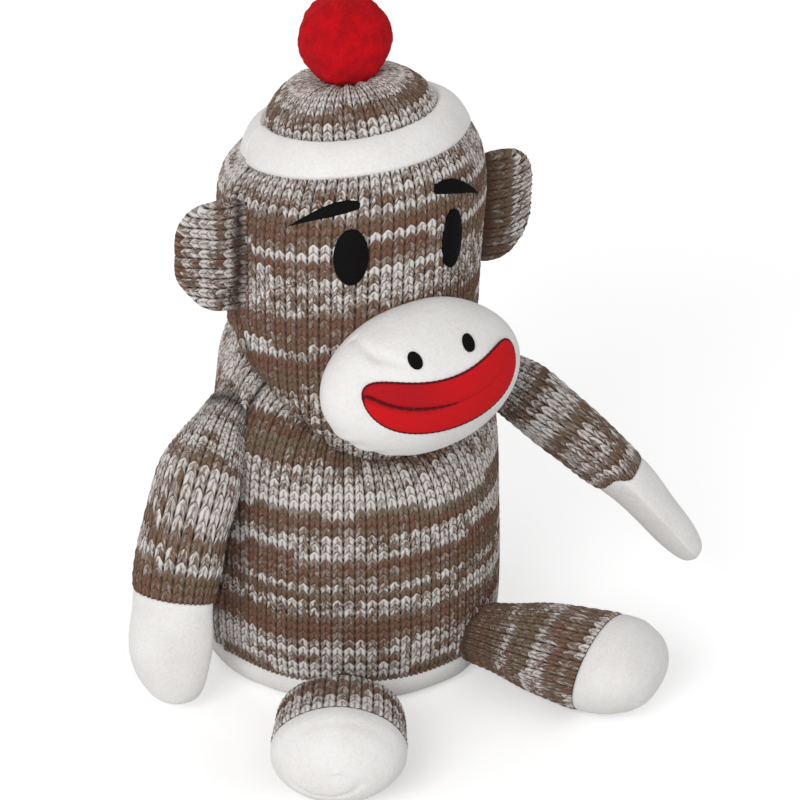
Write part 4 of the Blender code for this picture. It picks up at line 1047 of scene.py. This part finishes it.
share_steps = np.sin(np.linspace(-math.pi / 2, math.pi / 2, MOUTH_POINTS)) * 0.998
for lip_side in ("upper", "lower"):
    line = mouth_line(share_steps)
    if lip_side == "upper":
        rim = np.maximum(mouth_middle(share_steps) + mouth_half(share_steps), line)
        low, high = line, rim
    else:
        rim = mouth_middle(share_steps) - mouth_half(share_steps)
        low, high = rim, line
    above = low[:, None] + (high - low)[:, None] * np.linspace(0, 1, LIP_POINTS)[None, :]
    across = np.repeat((MOUTH_HALF_WIDTH * share_steps)[:, None], LIP_POINTS, axis=1)
    from_line = np.abs(above - line[:, None])
    from_rim = np.abs(above - rim[:, None])
    ends = np.clip((1 - np.abs(share_steps)) / 0.06, 0, 1)[:, None]
    roll_in = np.minimum(smooth_step(from_rim / LIP_ROLL_WIDTH), ends) ** 0.5
    # The line is pulled deepest towards the doll's right, and runs out towards its left
    pulled = 0.10 + 0.90 * smooth_step((0.5 - share_steps) / 0.9)[:, None]
    groove = 1 - GROOVE_DEPTH * bell(from_line, GROOVE_WIDTH) * pulled
    lift = LIP_CLEARANCE + LIP_THICK * (0.25 + 0.75 * roll_in) * groove
    top = on_muzzle(muzzle_front(across, above, lift))
    under = on_muzzle(muzzle_front(across, above, -LIP_UNDER))
    ring = np.concatenate([top, under[:, ::-1]], axis=1)
    lip = grid_piece(f"{lip_side}_lip_felt", ring[::-1], red.material, start_cap=True, end_cap=True)
    # Painted shade along the groove between the lips, deepest towards the doll's right where the
    # line is pulled hardest. The upper lip is also coloured darker towards the doll's right
    dark = 0.05 + 0.95 * smooth_step((0.3 - share_steps) / 0.9)[:, None]
    dark = dark * bell(from_line, LIP_SHADE_WIDTH)
    if lip_side == "upper":
        dark = np.maximum(dark, 0.75 * smooth_step((0.15 - share_steps) / 0.7)[:, None])
    add_shade(lip, "shade", np.concatenate([dark, dark[:, ::-1]], axis=1)[::-1])
    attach(lip, "head")
    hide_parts(f"{lip_side}_lip")

round_steps = np.concatenate([share_steps, share_steps[-2:0:-1]])
round_side = np.concatenate([np.ones(MOUTH_POINTS), -np.ones(MOUTH_POINTS - 2)])
round_above = mouth_middle(round_steps) + mouth_half(round_steps) * round_side
edge_centres = on_muzzle(muzzle_front(MOUTH_HALF_WIDTH * round_steps, round_above, EDGE_LIFT))
edge_turns = np.cos(np.arange(len(round_steps)) * EDGE_TURN_STEP)
mouth_edge = tube_piece(
    "mouth_edge_stitching", edge_centres, EDGE_RADIUS * (1 + EDGE_TURN_SHARE * edge_turns),
    edge.material, closed=True,
)
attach(mouth_edge, "head")

line_shares = np.linspace(LINE_LIFTS[0][0], LINE_LIFTS[-1][0], LINE_POINTS)
line_lift = read_off(LINE_LIFTS, line_shares)
line_beads = np.abs(np.sin(np.linspace(0, LINE_STITCHES * math.pi, LINE_POINTS))) ** 0.5
line_centres = muzzle_front(MOUTH_HALF_WIDTH * line_shares, mouth_line(line_shares), line_lift)
line_radius = read_off(LINE_RADII, line_shares) * (0.25 + 0.75 * line_beads)
mouth_thread = tube_piece(
    "mouth_line_stitching", on_muzzle(line_centres), line_radius, edge.material,
)
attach(mouth_thread, "head")
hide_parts("mouth_stitching")


# Nostrils, eyes and eyebrows: black satin stitch, close rows of floss worked through the cloth, so
# each is a low dome that follows the muzzle or the face under it.
NOSTRIL_APART = 0.0108
NOSTRIL_ABOVE = 0.0174
NOSTRIL_HALF = (0.0024, 0.0027)
EYE_HALF = (0.0062, 0.0107)
EYE_SHARES = {"right": 1.0, "left": 0.80}
EYES_TURN = math.radians(-4.4)
EYE_APART = math.radians(23.6)
EYE_HEIGHT = 0.1806
EYE_LEVEL_RADIUS = 0.0490
BROWS_TURN = math.radians(-8)
BROW_TURNS = (math.radians(17), math.radians(46.5))
BROW_HEIGHT = 0.1993
BROW_DROP = 0.0080
BROW_HALF = 0.0023
# Half thickness of an eyebrow from its inner end to its outer end, as shares of its fullest
BROW_BLADE = (
    (0.0, 0.30), (0.05, 0.62), (0.20, 0.90), (0.42, 1.0), (0.62, 0.78), (0.82, 0.42), (1.0, 0.05),
)
FLOSS_BLACK = (0.0035, 0.003, 0.003)
FLOSS_SHINE = (0.011, 0.010, 0.010)
FLOSS_EDGE = 0.0004
FLOSS_UNDER = 0.0012
FLOSS_RIDGE = 0.00005
# Over the head's stitches the floss stands a little further off
FLOSS_ON_KNIT = 0.0003

floss = Finish("black_floss", 0.62)
floss.shader.inputs["Specular IOR Level"].default_value = 0.05
floss_rows = floss.add("UVMap", uv_map="stitches")
floss_parts = floss.nodes.new("ShaderNodeSeparateXYZ")
floss.feed(floss_parts.inputs[0], floss_rows)
floss_wave = floss.math("SINE", floss.math("MULTIPLY", floss_parts.outputs[0], 2 * math.pi))
floss_fine = floss.noise(floss_rows, 3.0, 3.0)
floss_height = floss.math("MULTIPLY_ADD", floss_wave, 0.4, floss_fine)
# Painted sheen: the crest of each floss row, with some random unevenness, is coloured a little
# lighter
floss_colour = floss.blend(floss.spread(floss_height, 0.2, 1.1), FLOSS_BLACK, FLOSS_SHINE)
floss.feed(floss.shader.inputs["Base Color"], floss_colour)
floss.feed(floss.shader.inputs["Normal"], floss.bump(floss_height, 0.00012))


def floss_patch(name, replaced, place, side, rows, columns, row_count, dome_height):
    """A domed patch of satin stitch; place gives the cloth at (u, v) and some height off it."""
    u = np.linspace(-1, 1, rows)[:, None] * np.ones(columns)[None, :]
    v = np.linspace(-1, 1, columns)[None, :] * np.ones(rows)[:, None]
    dome = dome_height * (0.25 + 0.75 * oval(v) * oval(u, 8))
    ridges = FLOSS_RIDGE * (0.5 + 0.5 * np.cos(2 * math.pi * row_count * (u + 1) / 2))
    top = place(side, u, v, FLOSS_EDGE + dome + ridges)
    under = place(side, u, v, -FLOSS_UNDER)
    ring = np.concatenate([top, under[:, ::-1]], axis=1)
    counts = row_count * (u[:, :1] + 1) / 2
    alongs = np.linspace(0, 8, 2 * columns + 1)[None, :]
    piece = grid_piece(name, ring, floss.material, counts, alongs, start_cap=True, end_cap=True)
    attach(piece, "head")
    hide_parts(replaced)


def face_place(turn, height, outward):
    """Places on the head cover, or off it, at a turn from the front and a height."""
    levels = np.interp(height, head_rise(head_curve[:, 1], EYES_TURN), np.arange(HEAD_ROWS))
    low = np.clip(levels.astype(int), 0, HEAD_ROWS - 2)
    part = (levels - low)[..., None]
    values = head_curve[low] * (1 - part) + head_curve[low + 1] * part
    flat = level_rings(values[..., 0], height, turn)
    out = level_rings(1.0, 0.0, turn)
    face = leaned(flat, values[..., 2], values[..., 3], values[..., 1])
    return face + out * np.asarray(outward)[..., None]


def nostril_place(side, u, v, outward):
    across = side * (NOSTRIL_APART + NOSTRIL_HALF[0] * v * oval(u))
    return on_muzzle(muzzle_front(across, NOSTRIL_ABOVE + side * NOSTRIL_HALF[1] * u, outward))


def eye_place(side, u, v, outward):
    wide = EYE_SHARES["right" if side < 0 else "left"] * EYE_HALF[0] * v * oval(u)
    turn = EYES_TURN + side * EYE_APART + wide / EYE_LEVEL_RADIUS
    return face_place(turn, EYE_HEIGHT - EYE_HALF[1] * u, outward + FLOSS_ON_KNIT)


def brow_place(side, u, v, outward):
    share = (1 + side * u) / 2
    turn = BROWS_TURN + side * (BROW_TURNS[0] + (BROW_TURNS[1] - BROW_TURNS[0]) * share)
    above = BROW_HALF * read_off(BROW_BLADE, share) * v - BROW_DROP * share ** 2
    return face_place(turn, BROW_HEIGHT + above, outward + FLOSS_ON_KNIT)


FLOSS_PATCHES = (
    # feature and its places, its grid's rows and columns, its rows of floss, how far it swells
    ("nostril", nostril_place, 33, 15, 14, 0.0009),
    ("eye", eye_place, 129, 25, 32, 0.0012),
    ("eyebrow", brow_place, 129, 11, 32, 0.0009),
)
for face_side, sign in (("right", -1), ("left", 1)):
    for feature, feature_place, *feature_sizes in FLOSS_PATCHES:
        floss_patch(
            f"{feature}_{face_side}_stitching", f"{feature}_{face_side}", feature_place, sign,
            *feature_sizes,
        )


# The arms: flattened tubes knitted like the body and drawn in at the shoulder, where each is sewn
# into the side seam. A flat white plush hand closes the end. One hangs, the other is held out.
ARM_LENGTH = 0.12
ARM_HALF_WIDTH = 0.0160
ARM_HALF_THICK = 0.0120
ARM_WALES = 22
ARM_ROWS = 241
ARM_RIPPLE = (0.030, 0.0006)
ARM_HAND_SHARE = 0.62
ARM_ROOTS = {"right": (-0.0505, -0.002, 0.1085), "left": (0.0505, -0.002, 0.1085)}
ARM_LINES = {
    # places to the side, forward and down from the root, as shares of the arm's length
    "right": ((0, 0, 0), (0.1125, 0.071, 0.083), (0.208, 0.121, 0.25), (0.275, 0.15, 0.458),
              (0.30, 0.1625, 0.667), (0.296, 0.1625, 0.871)),
    "left": ((0, 0, 0), (0.121, 0.0875, 0.0875), (0.256, 0.204, 0.223), (0.386, 0.3125, 0.359),
             (0.4925, 0.404, 0.4965), (0.58, 0.483, 0.632)),
}
# The yarn's colour in each course from the hand to the shoulder
ARM_YARN = {"right": "rrbbwmbmwmwbbmmwmwwmwwmmmmm", "left": "bmbmmgbmwmbgmwmbmmwmbmmbmmm"}
# Share along the arm, and its half width and half thickness there as shares of the full ones
ARM_OUTLINE = (
    (-0.075, 0.48, 0.60), (0.0, 0.56, 0.70), (0.075, 0.63, 0.77), (0.14, 0.80, 0.84),
    (0.22, 0.96, 0.95), (0.34, 1.0, 1.0), (0.48, 1.0, 0.95), (0.62, 0.985, 0.82), (0.78, 1.0, 0.71),
    (0.89, 0.91, 0.63), (0.96, 0.66, 0.48), (0.99, 0.38, 0.30), (1.0, 0.04, 0.04),
)
ARM_HINGE_TURN = math.radians(43)
# Folds at the shoulder: how many, where they start round the arm, their reach and their height
ARM_PUCKERS = (7, 1.0, 0.10, 0.0006)
ARM_BORDER_DIP = (0.010, 0.0005)
# How far each hand is drawn to the seam at its edges, and turned about the arm's line
HAND_EDGES = {"right": 0.38, "left": 0.75}
ARM_TWISTS = {"right": 0.0, "left": math.radians(-24)}
HAND_SEAM_DEPTH = 0.0003
# How much further the knit reaches down a hand's upper face than its lower one
HAND_LAPS = {"right": 0.0, "left": 0.0022}
HAND_LAP_REACH = 0.12
LIMB_PUCKER_SHARE = 0.05
LIMB_ROOT_SHADE = 0.03
TABLE_CLEARANCE = 0.0002


def swept_limb(root, line, outline, half_width, half_thick, width_way, rows, sides,
               edge=0.0, twist=0.0):
    """Rings of a limb along its middle line: their places, shares and ways along it, its length.

    Edge says how far the rings of the limb's end are drawn to a seam at both sides, and twist how
    far the rings have turned about the line by the limb's middle.
    """
    centre_line = smooth_curve(line, 200) + np.array(root)
    run = run_along(centre_line)
    shape = smooth_curve(outline, rows)
    wanted = shape[:, 0] * run[-1]
    start_way = unit(centre_line[3] - centre_line[0])
    centres = np.column_stack([np.interp(wanted, run, centre_line[:, k]) for k in range(3)])
    centres = centres + np.minimum(wanted, 0)[:, None] * start_way[None, :]
    ways = np.column_stack([
        np.interp(np.clip(wanted, 0, run[-1]), run, np.gradient(centre_line[:, k], run))
        for k in range(3)
    ])
    for _ in range(12):
        ways[1:-1] = (ways[:-2] + 2 * ways[1:-1] + ways[2:]) / 4
    ways = unit(ways)
    wide = unit(width_way - ways * (ways @ width_way)[:, None])
    deep = np.cross(ways, wide)
    twisted = twist * smooth_step(shape[:, :1] / 0.6)
    wide, deep = (
        wide * np.cos(twisted) + deep * np.sin(twisted),
        deep * np.cos(twisted) - wide * np.sin(twisted),
    )
    turns = turns_round(sides, 0.0)
    across = (half_width * shape[:, 1:2] * np.cos(turns)[None, :])[..., None]
    drawn = 1 + edge * smooth_step((shape[:, :1] - 0.56) / 0.16)
    above = (half_thick * shape[:, 2:3] * swell(turns, drawn))[..., None]
    points = centres[:, None, :] + wide[:, None, :] * across + deep[:, None, :] * above
    return points, shape[:, 0], ways, run[-1]


def limb_tucks(shares, turns, puckers, border_share, border_dip):
    """Folds where a limb is drawn in at its root, and a dip where its end is sewn on."""
    count, start, reach, height = puckers
    folds = height * bell(shares - LIMB_PUCKER_SHARE, reach)[:, None]
    folds = folds * np.cos(count * turns + start)[None, :]
    return folds - border_dip[1] * bell(shares - border_share, border_dip[0])[:, None]


def limb_covers(limb, end, points, shares, length, border_share, wales, seed, yarn):
    """The knitted sleeve of a limb and its plush end, which meet at a share along it."""
    border = int(np.searchsorted(shares, border_share))
    courses = round((shares[border] - shares[0]) * length / COURSE_HEIGHT)
    along = courses * (1 - np.arange(border + 1)[:, None] / border)
    across = wales_round(wales, points.shape[1])
    sleeve_points = knit_relief(points[:border + 1], across[:, :-1], along)
    end_points = points[border:].copy()
    for places in (sleeve_points, end_points):
        places[..., 2] = np.maximum(places[..., 2], TABLE_CLEARANCE)
    sleeve_piece = grid_piece(
        f"{limb}_sleeve_cover", sleeve_points, ragg_knit(f"{limb}_ragg_knit", seed, yarn, wales),
        across, along, start_cap=True, end_cap=True,
    )
    # Painted shade round the limb's root, where it is sewn on, kept for the knit's finish to read
    shade = bell(shares[:border + 1], LIMB_ROOT_SHADE)[:, None]
    add_shade(sleeve_piece, "seam", np.repeat(shade, points.shape[1], axis=1))
    end_piece = grid_piece(
        f"{limb}_{end}_cover", end_points, plush_finish, start_cap=True, end_cap=True,
    )
    return sleeve_piece, end_piece


arm_turns = turns_round(ARM_WALES * WALE_POINTS, 0.0)
for arm_side in ("right", "left"):
    sign = -1 if arm_side == "right" else 1
    arm_root = np.array(ARM_ROOTS[arm_side])
    arm_line = ARM_LENGTH * np.array(ARM_LINES[arm_side]) * (sign, -1, -1)
    width_way = np.array([math.cos(ARM_HINGE_TURN), sign * math.sin(ARM_HINGE_TURN), 0.0])
    arm_points, arm_shares, arm_ways, arm_run = swept_limb(
        arm_root, arm_line, ARM_OUTLINE, ARM_HALF_WIDTH, ARM_HALF_THICK, width_way, ARM_ROWS,
        len(arm_turns), HAND_EDGES[arm_side], ARM_TWISTS[arm_side],
    )
    hand_seam = HAND_SEAM_DEPTH * smooth_step((arm_shares - 0.60) / 0.06)[:, None]
    hand_seam = hand_seam * bell(np.sin(arm_turns), 0.05)[None, :]
    arm_points = arm_points + surface_normals(arm_points) * (
        limb_tucks(arm_shares, arm_turns, ARM_PUCKERS, ARM_HAND_SHARE, ARM_BORDER_DIP)
        - hand_seam + ripple(arm_points, *ARM_RIPPLE, 51 + sign)
    )[..., None]
    lap = HAND_LAPS[arm_side] * np.clip(3 * np.sin(arm_turns), -1, 1)[None, :]
    lap = lap * bell(arm_shares - ARM_HAND_SHARE, HAND_LAP_REACH)[:, None]
    arm_points = arm_points + arm_ways[:, None, :] * lap[..., None]
    sleeve, hand = limb_covers(
        f"arm_{arm_side}", "hand", arm_points, arm_shares, arm_run, ARM_HAND_SHARE, ARM_WALES,
        6.0 + sign, ARM_YARN[arm_side],
    )
    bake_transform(sleeve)
    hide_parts(f"arm_{arm_side}_sleeve", f"arm_{arm_side}_stuffing")
    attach(hand, f"arm_{arm_side}")
    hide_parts(f"arm_{arm_side}_hand")


# The legs: short knitted tubes sewn into the front of the base, each closed by a round white plush
# foot. They are filled full, lie on the table, and turn up a little at the toe.
LEG_SPLAYS = {"right": math.radians(29.7), "left": math.radians(32.5)}
LEG_ROOT_OUT = 0.058
LEG_ROOT_HEIGHT = 0.0185
LEG_LENGTHS = {"right": 0.0825, "left": 0.0745}
LEG_SIZES = {"right": 1.0, "left": 0.95}
LEG_HALF_WIDTH = 0.0243
LEG_HALF_HEIGHT = 0.0189
LEG_WALES = 33
LEG_ROWS = 201
LEG_RIPPLE = (0.034, 0.0006)
LEG_FOOT_SHARES = {"right": 0.71, "left": 0.66}
LEG_BORDER_LEAN = 0.0038
LEG_BORDER_LEAN_REACH = 0.2
# The foot's weight presses its underside flat by this much
FOOT_PRESS = 0.0006
# Share along the leg, and its half width and half height there as shares of the full ones: the two
# hips, then the rest. The left leg's filling is pushed up to the hip, the right one's to the foot
LEG_HIPS = {
    "right": ((-0.10, 0.40, 0.36), (0.0, 0.42, 0.37), (0.118, 0.50, 0.39), (0.21, 0.68, 0.50),
              (0.34, 0.86, 0.74), (0.47, 0.95, 0.92)),
    "left": ((-0.10, 0.52, 0.52), (0.0, 0.58, 0.58), (0.118, 0.66, 0.68), (0.21, 0.76, 0.77),
             (0.34, 0.87, 0.88), (0.47, 0.95, 0.95)),
}
LEG_OUTLINE = (
    (0.63, 0.985, 0.99), (0.72, 1.0, 1.0), (0.81, 0.968, 0.96), (0.90, 0.81, 0.79),
    (0.955, 0.59, 0.57), (0.988, 0.32, 0.31), (1.0, 0.03, 0.03),
)
# Middle line of a leg, in shares of its length: out from the root, and up from the straight line
LEG_HIP_LINES = {
    "right": ((0.0, -0.125), (0.12, -0.118), (0.21, -0.094), (0.34, -0.046), (0.47, -0.012)),
    "left": ((0.0, -0.020), (0.12, -0.018), (0.21, -0.015), (0.34, -0.009), (0.47, -0.003)),
}
LEG_LINE = ((0.63, 0.002), (0.81, 0.016), (0.90, 0.030), (1.0, 0.050))
# The yarn's colour in each course from the foot to the hip
LEG_YARN = {"right": "wmbrmwwmbmmwbbmmwmmbbm", "left": "mbbrgmbbbgobbrbbbbgbbb"}
# Folds at the hip: how many, where they start round the leg, their reach and their height
LEG_PUCKERS = (8, 0.0, 0.12, 0.0005)
LEG_BORDER_DIP = (0.012, 0.0006)
TOE_FOLD_SHARE = 0.955
TOE_FOLD_WIDTH = 0.010
TOE_FOLD_DEPTH = 0.0006

leg_turns = turns_round(LEG_WALES * WALE_POINTS, 0.0)
# Each ring of a leg starts at its side and goes round underneath first
leg_above = -np.sin(leg_turns)[None, :]
for leg_side in ("right", "left"):
    sign = -1 if leg_side == "right" else 1
    splay, foot_share = LEG_SPLAYS[leg_side], LEG_FOOT_SHARES[leg_side]
    leg_length, leg_size = LEG_LENGTHS[leg_side], LEG_SIZES[leg_side]
    leg_way = np.array([sign * math.sin(splay), -math.cos(splay), 0.0])
    leg_root = leg_way * LEG_ROOT_OUT + np.array([0, 0, LEG_ROOT_HEIGHT])
    end_height = leg_size * LEG_HALF_HEIGHT - LEG_ROOT_HEIGHT - FOOT_PRESS
    leg_end = leg_way * leg_length + np.array([0, 0, end_height])
    leg_line = [
        leg_end * out + np.array([0, 0, leg_length * up])
        for out, up in LEG_HIP_LINES[leg_side] + LEG_LINE
    ]
    leg_points, leg_shares, _, leg_run = swept_limb(
        leg_root, leg_line, LEG_HIPS[leg_side] + LEG_OUTLINE, leg_size * LEG_HALF_WIDTH,
        leg_size * LEG_HALF_HEIGHT, np.cross(leg_way, (0, 0, 1)), LEG_ROWS, len(leg_turns),
    )
    toe_fold = leg_shares[:, None] - TOE_FOLD_SHARE + 0.03 * np.cos(leg_turns)[None, :]
    toe_fold = bell(toe_fold, TOE_FOLD_WIDTH) * smooth_step((-0.2 - leg_above) / 0.5)
    leg_points = leg_points + surface_normals(leg_points) * (
        limb_tucks(leg_shares, leg_turns, LEG_PUCKERS, foot_share, LEG_BORDER_DIP)
        - TOE_FOLD_DEPTH * toe_fold + ripple(leg_points, *LEG_RIPPLE, 61 + sign)
    )[..., None]
    border_lean = bell(leg_shares - foot_share, LEG_BORDER_LEAN_REACH)[:, None] * leg_above
    leg_points = leg_points + leg_way * (LEG_BORDER_LEAN * border_lean)[..., None]
    sleeve, foot = limb_covers(
        f"leg_{leg_side}", "foot", leg_points, leg_shares, leg_run, foot_share, LEG_WALES,
        9.0 + sign, LEG_YARN[leg_side],
    )
    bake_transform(sleeve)
    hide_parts(f"leg_{leg_side}_sleeve", f"leg_{leg_side}_stuffing")
    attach(foot, f"leg_{leg_side}")
    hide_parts(f"leg_{leg_side}_foot")
